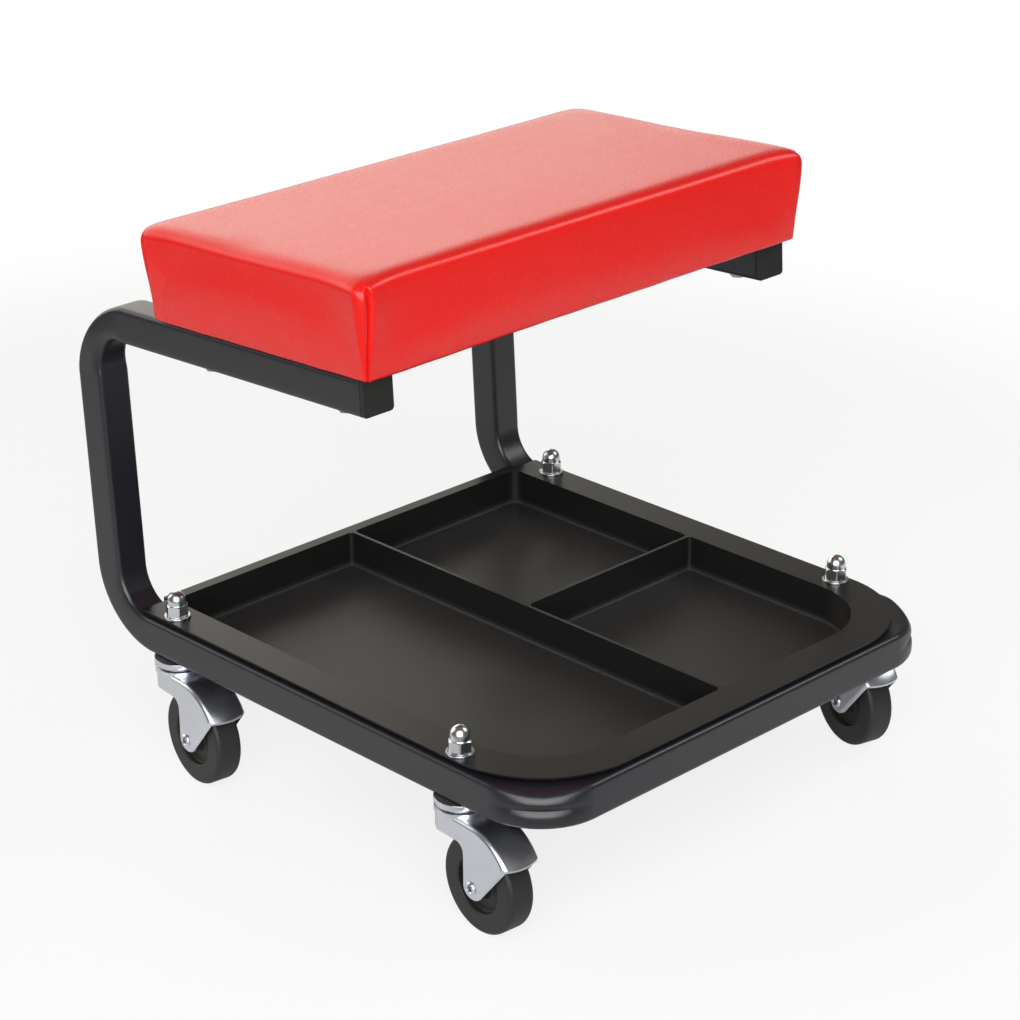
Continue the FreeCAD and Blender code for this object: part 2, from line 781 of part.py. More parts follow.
def fork_inner_outline():
    """The same side view drawn in by the sheet at the top, and open below."""
    sheet_thickness = size("fork_sheet")
    reach = size("wheel_diameter")
    run = size("hood_reach") - size("hood_shoulder")
    turn = math.atan2(size("hood_tip_drop"), run)
    shoulder = size("hood_shoulder") - sheet_thickness * math.tan(turn / 2)
    end_forward = size("hood_reach") + reach * math.cos(turn) - sheet_thickness * math.sin(turn)
    end_height = hood_tip_z - reach * math.sin(turn) - sheet_thickness * math.cos(turn)
    corners = [
        (-size("fork_width"), fork_top - sheet_thickness, 0),
        (shoulder, fork_top - sheet_thickness, size("hood_bend") - sheet_thickness),
        (end_forward, end_height, 0),
        (end_forward, -reach, 0),
        (-size("fork_width"), -reach, 0),
    ]
    return [(-forward, height, radius) for forward, height, radius in corners]


def fork_block(name, side_view, width, rounded):
    """A block with the given side view and width, half round at the back."""
    body = new_body(name)
    side = new_sketch(body, "YZ_Plane", "side_view")
    side.addGeometry(outline(side_view), False)
    block = pad(body, side, width, "block", symmetric=True)
    half = size("fork_width") / 2
    if rounded:

        def is_shoulder(edge):
            box = edge.BoundBox
            on_cheek = near(abs(box.XMin), half) and near(box.XMin, box.XMax)
            return on_cheek and box.ZMax > fork_top - size("fork_sheet") and box.YLength > size("fork_sheet")

        round_edges(body, block, "sizes.fork_shoulder_round", is_shoulder, "shoulders")
    sheet_inside = 0 if rounded else size("fork_sheet")
    plan_half = half - sheet_inside
    plan_back = size("fork_back") - sheet_inside
    plan = new_sketch(body, "XY_Plane", "plan_view")
    far = 2 * size("wheel_diameter")
    stadium = [
        (-plan_half, -far, 0),
        (plan_half, -far, 0),
        (plan_half, plan_back, plan_half * NEAR_FULL_ROUND_SHARE),
        (-plan_half, plan_back, plan_half * NEAR_FULL_ROUND_SHARE),
    ]
    plan.addGeometry(outline(stadium), False)
    plan.addGeometry(outline(rectangle(2 * far, 2 * far)), False)
    pocket(body, plan, "4 * sizes.wheel_diameter", "round_back", symmetric=True)
    return body


def ball_groove(name):
    groove = doc.addObject("Part::Torus", name)
    bind(groove, Radius1="sizes.ball_circle_diameter / 2",
         Radius2="sizes.ball_diameter / 2 + sizes.bearing_gap")
    groove.Placement = at(0, 0, cup_top + size("bearing_gap") / 2)
    return groove


def fork(corner, place):
    """Pressed sheet fork with the lower bearing cup on top."""
    inner_width = "sizes.fork_width - 2 * sizes.fork_sheet"
    outer = fork_block("fork_outside", fork_side_outline(), "sizes.fork_width", True)
    inner = fork_block("fork_inside", fork_inner_outline(), inner_width, False)
    shell = cut(outer, inner, "fork_shell")
    cup = cylinder("fork_cup", "sizes.cup_diameter / 2", "sizes.cup_height + sizes.fork_sheet",
                   at(0, 0, fork_top - size("fork_sheet")))
    blank = fuse([shell, cup], "fork_blank")
    stem_hole = cylinder("stem_hole", "sizes.stem_diameter / 2 + sizes.running_fit",
                         "sizes.cup_height + sizes.fork_sheet + 2 * sizes.overrun",
                         at(0, 0, fork_top - size("fork_sheet") - size("overrun")))
    across = FreeCAD.Rotation(V(0, 1, 0), 90)
    axle_foot = V(-size("fork_width"), -size("trail"), axle_z)
    axle_hole = cylinder("axle_hole", "sizes.axle_diameter / 2 + sizes.thread_gap", "2 * sizes.fork_width",
                         FreeCAD.Placement(axle_foot, across))
    tools = fuse([stem_hole, axle_hole, ball_groove("cup_groove")], "fork_cuts")
    finish(cut(blank, tools, "fork_" + corner), "fork_" + corner, place)


def caster_stem(corner, place):
    """Threaded stem, headed inside the fork, up through rail and rim into the nut."""
    label = "stem_" + corner
    head_top = fork_top - size("fork_sheet") - size("bearing_gap")
    stem_top = rail_top + size("tray_rim") + size("washer_thickness") + size("stem_grip")
    head_radius = size("stem_head_diameter") / 2
    corners = [
        (0, head_top - size("stem_head_thickness"), 0),
        (head_radius, head_top - size("stem_head_thickness"), 0),
        (head_radius, head_top, 0),
        (stem_radius, head_top, 0),
        (stem_radius, stem_top, 0),
        (0, stem_top, 0),
    ]
    finish(turned(label, corners, "Z"), label, place)


def upper_race(corner, place):
    """Pressed ring under the rail, which the stem holds still."""
    bottom = cup_top + size("bearing_gap")
    bore = stem_radius + size("thread_gap")
    outer = size("race_diameter") / 2
    corners = [
        (bore, bottom, 0),
        (outer, bottom, size("race_round")),
        (outer, size("rail_height"), 0),
        (bore, size("rail_height"), 0),
    ]
    ring = turned("race_ring", corners, "Z")
    label = "upper_race_" + corner
    finish(cut(ring, ball_groove("race_groove"), label), label, place)


def bearing_balls(corner, place):
    balls = []
    reach = size("ball_circle_diameter") / 2
    height = cup_top + size("bearing_gap") / 2
    for index in range(BALL_COUNT):
        turn = 2 * math.pi * index / BALL_COUNT
        ball = doc.addObject("Part::Sphere", "ball")
        bind(ball, Radius="sizes.ball_diameter / 2")
        ball.Placement = place.multiply(at(reach * math.cos(turn), reach * math.sin(turn), height))
        balls.append(ball)
    group(balls, "bearing_balls_" + corner)


def axle(corner, place):
    """Rivet with a rounded head outside each cheek."""
    label = "axle_" + corner
    cheek = size("fork_width") / 2
    head = cheek + size("axle_head_thickness")
    head_radius = size("axle_head_diameter") / 2
    radius = size("axle_diameter") / 2
    head_round = size("axle_head_thickness") * NEAR_FULL_ROUND_SHARE
    corners = [
        (-head, 0, 0),
        (-head, head_radius, head_round),
        (-cheek, head_radius, 0),
        (-cheek, radius, 0),
        (cheek, radius, 0),
        (cheek, head_radius, 0),
        (head, head_radius, head_round),
        (head, 0, 0),
    ]
    finish(turned(label, corners, "X"), label, place)


def wheel_bush(corner, place):
    label = "wheel_bush_" + corner
    half = size("fork_width") / 2 - size("fork_sheet") - size("bearing_gap")
    bore = size("axle_diameter") / 2 + size("running_fit")
    outer = size("bush_diameter") / 2
    corners = [
        (-half, bore, 0),
        (half, bore, 0),
        (half, outer, 0),
        (-half, outer, 0),
    ]
    finish(turned(label, corners, "X"), label, place)


def wheel(corner, place):
    """Moulded wheel: rounded tread, sunk sides and a hub that stands proud of them."""
    label = "wheel_" + corner
    bore = size("bush_diameter") / 2 + size("bush_gap")
    hub = size("hub_diameter") / 2
    hub_half = size("hub_width") / 2
    radius = size("wheel_diameter") / 2
    half = size("wheel_width") / 2
    web = half - size("rim_depth")
    rim = radius - size("rim_wall")
    edge = size("rim_round")
    right_side = [
        (hub_half, bore, 0),
        (hub_half, hub, 0),
        (web, hub, edge),
        (web, rim, edge),
        (half, rim, edge),
        (half, radius, size("tread_round")),
    ]
    left_side = [(-x, r, turn) for x, r, turn in reversed(right_side)]
    finish(turned(label, right_side + left_side, "X"), label, place)


# Assembly

frame_tube()
for side_name, side in SIDES:
    end_cap(side_name, side)
tool_tray()
seat_cover()
seat_foam()
seat_board()
seat_fasteners()
cover_staples()
stem_fasteners()
for corner, way, row, yaw in CASTER_CORNERS:
    swivel = FreeCAD.Placement(V(way * stem_x, stem_rows[row], 0), FreeCAD.Rotation(V(0, 0, 1), size(yaw)))
    hub_place = swivel.multiply(at(0, -size("trail"), axle_z))
    caster_stem(corner, swivel)
    upper_race(corner, swivel)
    bearing_balls(corner, swivel)
    fork(corner, swivel)
    axle(corner, hub_place)
    wheel_bush(corner, hub_place)
    wheel(corner, hub_place)

doc.recompute()

# Check, then write one file for each sub-part

for item in doc.Objects:
    if "Invalid" in item.State or "Error" in item.State:
        raise RuntimeError("%s failed: %s" % (item.Label, item.State))
for piece in nodes:
    shape = piece.Shape
    if shape.isNull() or not shape.isValid():
        raise RuntimeError(piece.Label + " has no valid shape")
    shape.exportStep("parts/%s.step" % piece.Label)
    box = shape.BoundBox
    print("%-28s solids %2d volume %10.1f z %.1f to %.1f" % (
        piece.Label, len(shape.Solids), shape.Volume, box.ZMin, box.ZMax))
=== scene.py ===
import bmesh
import bpy
import math
from mathutils import Matrix, Vector, noise


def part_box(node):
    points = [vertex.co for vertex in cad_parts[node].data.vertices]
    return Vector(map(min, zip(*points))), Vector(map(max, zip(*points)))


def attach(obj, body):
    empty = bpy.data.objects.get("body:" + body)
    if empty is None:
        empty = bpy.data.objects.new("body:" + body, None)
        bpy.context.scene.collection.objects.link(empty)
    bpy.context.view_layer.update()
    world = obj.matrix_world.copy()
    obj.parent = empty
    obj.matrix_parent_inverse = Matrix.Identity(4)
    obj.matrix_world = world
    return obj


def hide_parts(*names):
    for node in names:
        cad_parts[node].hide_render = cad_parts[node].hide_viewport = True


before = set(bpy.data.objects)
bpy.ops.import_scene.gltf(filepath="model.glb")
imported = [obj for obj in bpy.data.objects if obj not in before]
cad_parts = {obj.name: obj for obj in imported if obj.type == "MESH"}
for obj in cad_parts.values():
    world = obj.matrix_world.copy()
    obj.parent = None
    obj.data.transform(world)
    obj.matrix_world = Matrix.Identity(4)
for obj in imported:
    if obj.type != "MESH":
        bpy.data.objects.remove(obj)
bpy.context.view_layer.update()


# Frame tube. One length of square steel tube, bent cold into a U of rails with an upright and an arm on
# each side, so that its walls have sunk in at the bends. It is coated with satin black powder.

TUBE_SIDE = 0.0254
TUBE_WALL = 0.0016
TUBE_CORNER = 0.003
FRAME_WIDTH = 0.3955
FRAME_DEPTH = 0.4429
RAIL_HEIGHT = 0.0859
SIDE_HEIGHT = 0.2507
ARM_LENGTH = 0.3015
SEAT_TILT = math.radians(3)
FRONT_BEND = 0.035
LOWER_BEND = 0.0435
UPPER_BEND = 0.042
SEAT_DEPTH = 0.2204
SEAT_OVERHANG = 0.0136
CAP_HEAD = 0.0035
CAP_PLUG = 0.015
TOUCHING = 1e-6

POWDER_DARK = (0.0084, 0.0082, 0.0126, 1)
POWDER_LIGHT = (0.0114, 0.011, 0.0165, 1)
POWDER_SCUFF = (0.07, 0.07, 0.072, 1)

half = TUBE_SIDE / 2
rail_x = FRAME_WIDTH / 2 - half
along = Vector((0, math.sin(SEAT_TILT), math.cos(SEAT_TILT)))
back = Vector((0, math.cos(SEAT_TILT), -math.sin(SEAT_TILT)))
side_corner = Vector((0, FRAME_DEPTH, RAIL_HEIGHT)) + along * SIDE_HEIGHT
upper_centre = side_corner - (along + back) * (UPPER_BEND + half)
front_y = -(upper_centre.y + UPPER_BEND + half) / 2
side_corner.y += front_y
upper_centre.y += front_y
rail_z = RAIL_HEIGHT + half
rail_top = RAIL_HEIGHT + TUBE_SIDE
upright_line = Vector((0, front_y + FRAME_DEPTH, RAIL_HEIGHT)) - back * half
lower_corner_y = upright_line.y + (rail_z - upright_line.z) * math.tan(SEAT_TILT)
lower_turn = math.pi / 2 - SEAT_TILT
rail_end_y = lower_corner_y - LOWER_BEND * math.tan(lower_turn / 2)
seat_middle = side_corner - back * (ARM_LENGTH + SEAT_OVERHANG - SEAT_DEPTH / 2)
seat_place = Matrix.Translation(seat_middle) @ Matrix.Rotation(-SEAT_TILT, 4, "X")
tube_front = SEAT_OVERHANG - SEAT_DEPTH / 2 + CAP_HEAD


class Wire:
    """A shader socket that takes part in sums, so that a finish reads as arithmetic."""

    def __init__(self, paint, socket):
        self.paint = paint
        self.socket = socket

    def sum(self, operation, first, second):
        return self.paint.add("ShaderNodeMath", {"operation": operation}, {0: first, 1: second})

    def __add__(self, other):
        return self.sum("ADD", self, other)

    def __sub__(self, other):
        return self.sum("SUBTRACT", self, other)

    def __rsub__(self, other):
        return self.sum("SUBTRACT", other, self)

    def __mul__(self, other):
        return self.sum("MULTIPLY", self, other)

    __radd__ = __add__
    __rmul__ = __mul__


class Paint:
    """A material whose nodes are added one call at a time."""

    def __init__(self, name, **plain):
        self.material = bpy.data.materials.new(name)
        self.material.use_nodes = True
        self.tree = self.material.node_tree
        self.shader = self.tree.nodes["Principled BSDF"]
        self.place = self.add("ShaderNodeTexCoord", {}, {}, "Object")
        for socket, value in plain.items():
            self.feed(self.shader.inputs[socket.replace("_", " ")], value)

    def feed(self, socket, value):
        if isinstance(value, Wire):
            self.tree.links.new(value.socket, socket)
        else:
            socket.default_value = value

    def add(self, kind, settings, sockets, output=0):
        """Adds a node, with its settings first and then its sockets, and returns one of its outputs."""
        node = self.tree.nodes.new(kind)
        for name, value in settings.items():
            setattr(node, name, value)
        for name, value in sockets.items():
            self.feed(node.inputs[name], value)
        return Wire(self, node.outputs[output])

    def noise(self, scale, detail=2.0, roughness=0.5, place=None):
        return self.add("ShaderNodeTexNoise", {}, {
            "Vector": place or self.place, "Scale": scale, "Detail": detail, "Roughness": roughness}, "Fac")

    def step(self, value, low, high):
        """0 below low, 1 above high and smooth between them."""
        return self.add("ShaderNodeMapRange", {"interpolation_type": "SMOOTHSTEP"}, {
            "Value": value, "From Min": low, "From Max": high}, "Result")

    def blend(self, mask, low, high):
        """Mixes two colours by a mask."""
        return self.add("ShaderNodeMix", {"data_type": "RGBA"}, {
            "Factor": mask, "A": low, "B": high}, "Result")

    def reach(self, way, place=None):
        """How far a place lies along a way."""
        return self.add("ShaderNodeVectorMath", {"operation": "DOT_PRODUCT"}, {
            0: place or self.place, 1: way}, "Value")

    def height(self):
        return self.add("ShaderNodeSeparateXYZ", {}, {"Vector": self.place}, "Z")

    def bump(self, height, distance, strength=1.0, under=None):
        sockets = {"Height": height, "Distance": distance, "Strength": strength}
        if under is not None:
            sockets["Normal"] = under
        return self.add("ShaderNodeBump", {}, sockets, "Normal")

    def wear(self, **changing):
        """Feeds what changes over the surface, and gives back the finished material."""
        for socket, value in changing.items():
            self.feed(self.shader.inputs[socket.replace("_", " ")], value)
        return self.material


def piece(name, bm, material, body, nodes, sharp=40):
    """Turns a finished bmesh into a piece that rides on a body and stands for CAD nodes."""
    bmesh.ops.recalc_face_normals(bm, faces=bm.faces)
    mesh = bpy.data.meshes.new(name)
    bm.to_mesh(mesh)
    bm.free()
    mesh.shade_smooth()
    mesh.set_sharp_from_angle(angle=math.radians(sharp))
    mesh.materials.append(material)
    made = bpy.data.objects.new(name, mesh)
    bpy.context.scene.collection.objects.link(made)
    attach(made, body)
    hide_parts(*nodes)
    if sharp < 180:
        flats = made.modifiers.new("flats", "WEIGHTED_NORMAL")
        flats.keep_sharp = True
        flats.weight = 100
    return made


def powder_coat():
    paint = Paint("satin_black_powder", Specular_IOR_Level=0.72, IOR=1.5)
    cloud = paint.noise(9, 3)
    peel = paint.noise(420, 2, 0.6)
    grain = paint.noise(1800, 1)
    scuffs = paint.step(paint.noise(60, 4, 0.7), 0.66, 0.72) * paint.step(paint.noise(700, 2), 0.5, 0.62)
    colour = paint.blend(scuffs * 0.35, paint.blend(cloud, POWDER_DARK, POWDER_LIGHT), POWDER_SCUFF)
    rough = 0.29 + cloud * 0.07 + grain * 0.05 + scuffs * 0.12
    normal = paint.bump(peel, 0.00012, 0.6, paint.bump(grain, 0.00004, 0.5))
    return paint.wear(Base_Color=colour, Roughness=rough, Normal=normal)


def verts_of(geom):
    return [part for part in geom if isinstance(part, bmesh.types.BMVert)]


def edges_of(geom):
    return [part for part in geom if isinstance(part, bmesh.types.BMEdge)]


def whole(bm):
    return bm.verts[:] + bm.edges[:] + bm.faces[:]


def draw_on(bm, ring, way, steps):
    """Draws the tube's open end straight on."""
    for _ in range(steps):
        drawn = bmesh.ops.extrude_edge_only(bm, edges=ring)["geom"]
        bmesh.ops.translate(bm, vec=way / steps, verts=verts_of(drawn))
        ring = [e for e in edges_of(drawn) if all(len(v.link_edges) < 4 for v in e.verts)]
    return ring


def bend_on(bm, ring, centre, axis, angle, steps):
    """Bends the tube's open end about an axis."""
    turned = bmesh.ops.spin(bm, geom=ring, cent=centre, axis=axis, angle=angle, steps=steps)["geom_last"]
    return edges_of(turned)


# What bending does to the tube. At a front corner its top edge rolls in and down, a crease runs under that,
# and its foot is nipped. At a bend in the side its outer and inner walls sink and its sides bulge.
FRONT_FADE = 1.3
SIDE_FADE = 1.2
CORNER_ROLL = 0.007
CORNER_ROLL_DOWN = 0.0019
CORNER_ROLL_FADE = 0.004
CREASE_DEPTH = 0.0024
CREASE_BELOW_TOP = 0.0123
CREASE_SPREAD = 0.0021
FOOT_NIP = 0.0008
FOOT_SPREAD = 0.0025
UPPER_SINK = {"outer": 0.0037, "inner": 0.003, "bulge": 0.0013}
LOWER_SINK = {"outer": 0.0012, "inner": 0.0008, "bulge": 0.0005}
WAIST_SHARE = 1.6
WAIST_SPREAD = 0.0045


def bell(value, middle, spread):
    """1 at the middle and fading away on both sides of it."""
    return math.exp(-(((value - middle) / spread) ** 2))


def press_front_corner(vert, centre):
    """The outer wall of a front corner: its top edge has rolled down, and a crease runs under it."""
    reach = vert.co - centre
    turn = math.atan2(reach.x, -reach.y)
    if not 0 < turn < math.pi / 2 or reach.x < 0:
        return
    weight = math.sin(2 * turn) ** FRONT_FADE
    out = reach.xy.length - FRONT_BEND
    below = half - reach.z
    share = max(0.0, min(1.0, (out + half) / TUBE_SIDE))
    at_top = math.exp(-below / CORNER_ROLL_FADE)
    rolled = -CORNER_ROLL * at_top - CREASE_DEPTH * bell(below, CREASE_BELOW_TOP, CREASE_SPREAD)
    rolled -= FOOT_NIP * bell(below, TUBE_SIDE, FOOT_SPREAD)
    push = reach.xy.normalized() * rolled * weight * share**3
    vert.co.x += push.x
    vert.co.y += push.y
    vert.co.z -= CORNER_ROLL_DOWN * weight * share**2 * at_top


def press_side_bend(vert, centre, radius, start, turned, outer, inner, bulge):
    """A bend in the side: its outer and inner walls have come together and its sides have spread."""
    reach = vert.co - centre
    turn = math.atan2(reach.dot(turned), reach.dot(start))
    if not 0 < turn < math.pi / 2:
        return
    weight = math.sin(2 * turn) ** SIDE_FADE
    out = math.hypot(reach.y, reach.z) - radius
    share = (out + half) / TUBE_SIDE
    push = weight * (inner * (1 - share) - outer * share)
    vert.co.y += reach.y / (out + radius) * push
    vert.co.z += reach.z / (out + radius) * push
    aside = vert.co.x - rail_x
    spread = bulge * (1 - (out / half) ** 2) - WAIST_SHARE * bulge * bell(out, -half, WAIST_SPREAD)
    vert.co.x += aside / half * spread * weight


tube = bmesh.new()
section = bmesh.ops.create_grid(tube, x_segments=1, y_segments=1, size=half)["verts"]
turn_up = Matrix.Translation((0, front_y + half, rail_z)) @ Matrix.Rotation(math.pi / 2, 4, "Y")
bmesh.ops.transform(tube, matrix=turn_up, verts=section)
bmesh.ops.bevel(tube, geom=section, offset=TUBE_CORNER, offset_type="OFFSET", affect="VERTICES", segments=4,
                profile=0.5, material=-1)
flats = [e for e in tube.edges if e.calc_length() > half]
bmesh.ops.subdivide_edges(tube, edges=flats, cuts=9)
bmesh.ops.delete(tube, geom=tube.faces[:], context="FACES_ONLY")
front_centre = Vector((rail_x - FRONT_BEND, front_y + half + FRONT_BEND, rail_z))
lower_centre = Vector((rail_x, rail_end_y, rail_z + LOWER_BEND))
upper_centre.x = rail_x
end = draw_on(tube, tube.edges[:], Vector((front_centre.x, 0, 0)), steps=6)
end = bend_on(tube, end, front_centre, (0, 0, 1), math.pi / 2, steps=28)
end = draw_on(tube, end, Vector((0, rail_end_y - front_centre.y, 0)), steps=10)
end = bend_on(tube, end, lower_centre, (1, 0, 0), lower_turn, steps=20)
upright_start = lower_centre + back * LOWER_BEND
end = draw_on(tube, end, along * (upper_centre - upright_start).dot(along), steps=8)
end = bend_on(tube, end, upper_centre, (1, 0, 0), math.pi / 2, steps=24)
arm_run = (upper_centre - seat_place @ Vector((0, tube_front, 0))).dot(back)
end = draw_on(tube, end, -back * arm_run, steps=8)
for vert in tube.verts:
    press_front_corner(vert, front_centre)
    press_side_bend(vert, upper_centre, UPPER_BEND, back, along, **UPPER_SINK)
    press_side_bend(vert, lower_centre, LOWER_BEND, Vector((0, 0, -1)), back, **LOWER_SINK)

# The arm's open end: a socket as deep as the cap's plug, then a blind wall that nobody sees.
lip = bmesh.ops.extrude_edge_only(tube, edges=end)["geom"]
lip_verts = verts_of(lip)
end_middle = sum((v.co for v in lip_verts), Vector()) / len(lip_verts)
narrower = Matrix.Scale(1 - TUBE_WALL / half, 4)
shrink = Matrix.Translation(end_middle) @ narrower @ Matrix.Translation(-end_middle)
bmesh.ops.transform(tube, matrix=shrink, verts=lip_verts)
lip_edges = [e for e in edges_of(lip) if all(v in lip_verts for v in e.verts)]
socket = bmesh.ops.extrude_edge_only(tube, edges=lip_edges)["geom"]
socket_verts = verts_of(socket)
bmesh.ops.translate(tube, vec=back * CAP_PLUG, verts=socket_verts)
blind_ring = [e for e in edges_of(socket) if all(v in socket_verts for v in e.verts)]
bmesh.ops.contextual_create(tube, geom=blind_ring)
bmesh.ops.mirror(tube, geom=whole(tube), axis="X", merge_dist=TOUCHING)
bmesh.ops.remove_doubles(tube, verts=tube.verts, dist=TOUCHING)
black_powder = powder_coat()
piece("bent_frame_tube", tube, black_powder, "frame", ["frame_tube"])


# End caps. A moulded plastic plug with a flush square head is knocked into each open arm end. The head is
# as wide as the tube, and its edges are eased.

CAP_EASE = 0.0007
CAP_DARK = (0.012, 0.012, 0.012, 1)
CAP_LIGHT = (0.018, 0.018, 0.017, 1)
DUST = (0.09, 0.088, 0.08, 1)
# The tray floor's paler colour: partly wear, partly painted light.
FLOOR_WEAR_AND_LIGHT = (0.0305, 0.0296, 0.029, 1)
MOULD_GRAIN = 0.00005


def joined_copy(node):
    """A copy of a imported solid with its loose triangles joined."""
    bm = bmesh.new()
    bm.from_mesh(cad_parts[node].data)
    bmesh.ops.remove_doubles(bm, verts=bm.verts, dist=TOUCHING)
    bmesh.ops.dissolve_limit(bm, angle_limit=math.radians(0.5), verts=bm.verts, edges=bm.edges)
    return bm


def eased(bm, ease, segments=2, sharp=40):
    """Eases the sharp edges of a shape."""
    edges = [e for e in bm.edges if e.is_manifold and e.calc_face_angle() > math.radians(sharp)]
    bmesh.ops.bevel(bm, geom=edges, offset=ease, offset_type="OFFSET", affect="EDGES", segments=segments,
                    profile=0.5, material=-1, clamp_overlap=True)
    return bm


def eased_copy(node, ease, segments=2, sharp=40):
    return eased(joined_copy(node), ease, segments, sharp)


def moulded_black(name, dark, light, rough, floor=None):
    """A black moulding, duller and paler on its floor, where the height of one is given; the paler floor is
    partly wear and partly painted light.
    """
    paint = Paint(name, Specular_IOR_Level=0.42, IOR=1.5)
    cloud = paint.noise(14, 3)
    grain = paint.noise(2200, 1)
    dimple = paint.noise(600, 3, 0.65)
    dust = paint.step(paint.noise(900, 1), 0.74, 0.8) * paint.step(paint.noise(35, 2), 0.45, 0.65)
    colour = paint.blend(dust * 0.3, paint.blend(cloud, dark, light), DUST)
    normal = paint.bump(grain, MOULD_GRAIN, 0.7, paint.bump(dimple, MOULD_GRAIN * 1.5, 0.4))
    roughness = rough + cloud * 0.06 + grain * 0.06
    if floor is not None:
        height = paint.height()
        # The floor is painted paler, partly for wear and partly as painted light for the brightness it shows.
        worn_and_lit = (1 - paint.step(height, floor, floor + 0.002)) * (0.6 + cloud * 0.6)
        colour = paint.blend(worn_and_lit, colour, FLOOR_WEAR_AND_LIGHT)
        cove_foot = paint.step(height, floor - 0.0004, floor + 0.0006)
        cove = cove_foot * (1 - paint.step(height, floor + 0.002, floor + 0.005))
        roughness = roughness + worn_and_lit * 0.04 + cove * 0.45
    return paint.wear(Base_Color=colour, Roughness=roughness, Normal=normal)


cap_plastic = moulded_black("cap_plastic", CAP_DARK, CAP_LIGHT, 0.42)
for side in ("left", "right"):
    node = "arm_end_cap_" + side
    piece("end_cap_" + side, eased_copy(node, CAP_EASE), cap_plastic, "frame", [node])


# Tool tray. One shallow moulding with three wells, which drops between the rails and hangs by its rim.
# The rim is thin at its outer edge and stands a little off the tube, which leaves a dark line all round.

TRAY_EASE = 0.0007
TRAY_RIM = 0.004
TRAY_SETBACK = 0.003
TRAY_FRONT_ROUND = 0.075
RIM_EDGE = 0.002
RIM_UNDERCUT = 0.0032
ON_RIM = 0.0004
TRAY_FLOOR = 0.0896
TRAY_DARK = (0.007, 0.0066, 0.0068, 1)
TRAY_LIGHT = (0.0092, 0.0088, 0.0088, 1)

rim_half_x = FRAME_WIDTH / 2 - TRAY_SETBACK
rim_front = front_y + TRAY_SETBACK


def out_of_rim(place):
    """The way out of the rim's outer edge for a point on it, or nothing for any other point."""
    round_x = rim_half_x - TRAY_FRONT_ROUND
    round_y = rim_front + TRAY_FRONT_ROUND
    if abs(place.x) > round_x and place.y < round_y:
        away = Vector((place.x - math.copysign(round_x, place.x), place.y - round_y, 0))
        return away.normalized() if away.length > TRAY_FRONT_ROUND - ON_RIM else None
    if abs(place.x) > rim_half_x - ON_RIM:
        return Vector((math.copysign(1, place.x), 0, 0))
    return Vector((0, -1, 0)) if place.y < rim_front + ON_RIM else None


tray = joined_copy("tool_tray")
bmesh.ops.bisect_plane(tray, geom=whole(tray), dist=1e-7,
                       plane_co=(0, 0, rail_top + TRAY_RIM - RIM_EDGE), plane_no=(0, 0, 1))
for vert in tray.verts:
    outward = out_of_rim(vert.co)
    if outward is not None and vert.co.z < rail_top + ON_RIM / 2:
        vert.co -= outward * RIM_UNDERCUT
eased(tray, TRAY_EASE, 3, 35)
tray_plastic = moulded_black("tray_plastic", TRAY_DARK, TRAY_LIGHT, 0.27, TRAY_FLOOR)
piece("moulded_tool_tray", tray, tray_plastic, "frame", ["tool_tray"])


# Casters. Each has a headed stem, a pressed upper race, a ring of balls, a pressed and plated fork, a rivet
# for an axle, a steel bush and a black moulded wheel. The fork swivels and the wheel rolls.

FORK_EASE = 0.0005
WHEEL_EASE = 0.0006
CASTER_TURNS = {"front_left": -4.3, "front_right": -14.4, "rear_left": -6.4, "rear_right": 6.4}
FORK_HALF = 0.015
HOOD_REACH = 0.0598
HOOD_CUTS = (-0.72, -0.45, -0.16, 0.16, 0.45, 0.72)
LIP_LENGTH = 0.012
LIP_BOW = 0.0034
LIP_DROP = 0.3
TRAIL = 0.0273
AXLE_HEIGHT = 0.034
RIVET_HOLLOW = 0.0018
RIVET_HEAD = 0.0046
RIVET_SHANK = 0.003
TYRE_DARK = (0.013, 0.0127, 0.0125, 1)
TYRE_LIGHT = (0.021, 0.0205, 0.02, 1)


def ramp(value, low, high):
    """0 below low, 1 above high and smooth between them, for a number."""
    share = max(0.0, min(1.0, (value - low) / (high - low)))
    return share * share * (3 - 2 * share)


def caster_place(corner):
    """Where a caster stands, with its stem on the Z axis and its wheel trailing to -Y."""
    low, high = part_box("stem_" + corner)
    foot = Matrix.Translation(((low[0] + high[0]) / 2, (low[1] + high[1]) / 2, 0))
    return foot @ Matrix.Rotation(math.radians(CASTER_TURNS[corner]), 4, "Z")


def lipped_fork(corner):
    """The fork with the front lip of its hood bowed forward, as the press leaves it."""
    bm = joined_copy("fork_" + corner)
    place = caster_place(corner)
    bmesh.ops.transform(bm, matrix=place.inverted(), verts=bm.verts)
    for share in HOOD_CUTS:
        bmesh.ops.bisect_plane(bm, geom=whole(bm), dist=TOUCHING, plane_co=(share * FORK_HALF, 0, 0),
                               plane_no=(1, 0, 0))
    for vert in bm.verts:
        at_lip = ramp(-vert.co.y, HOOD_REACH - LIP_LENGTH, HOOD_REACH)
        bow = LIP_BOW * (1 - (vert.co.x / FORK_HALF) ** 2) * at_lip
        vert.co.y -= bow
        vert.co.z -= bow * LIP_DROP
    bmesh.ops.transform(bm, matrix=place, verts=bm.verts)
    return eased(bm, FORK_EASE)


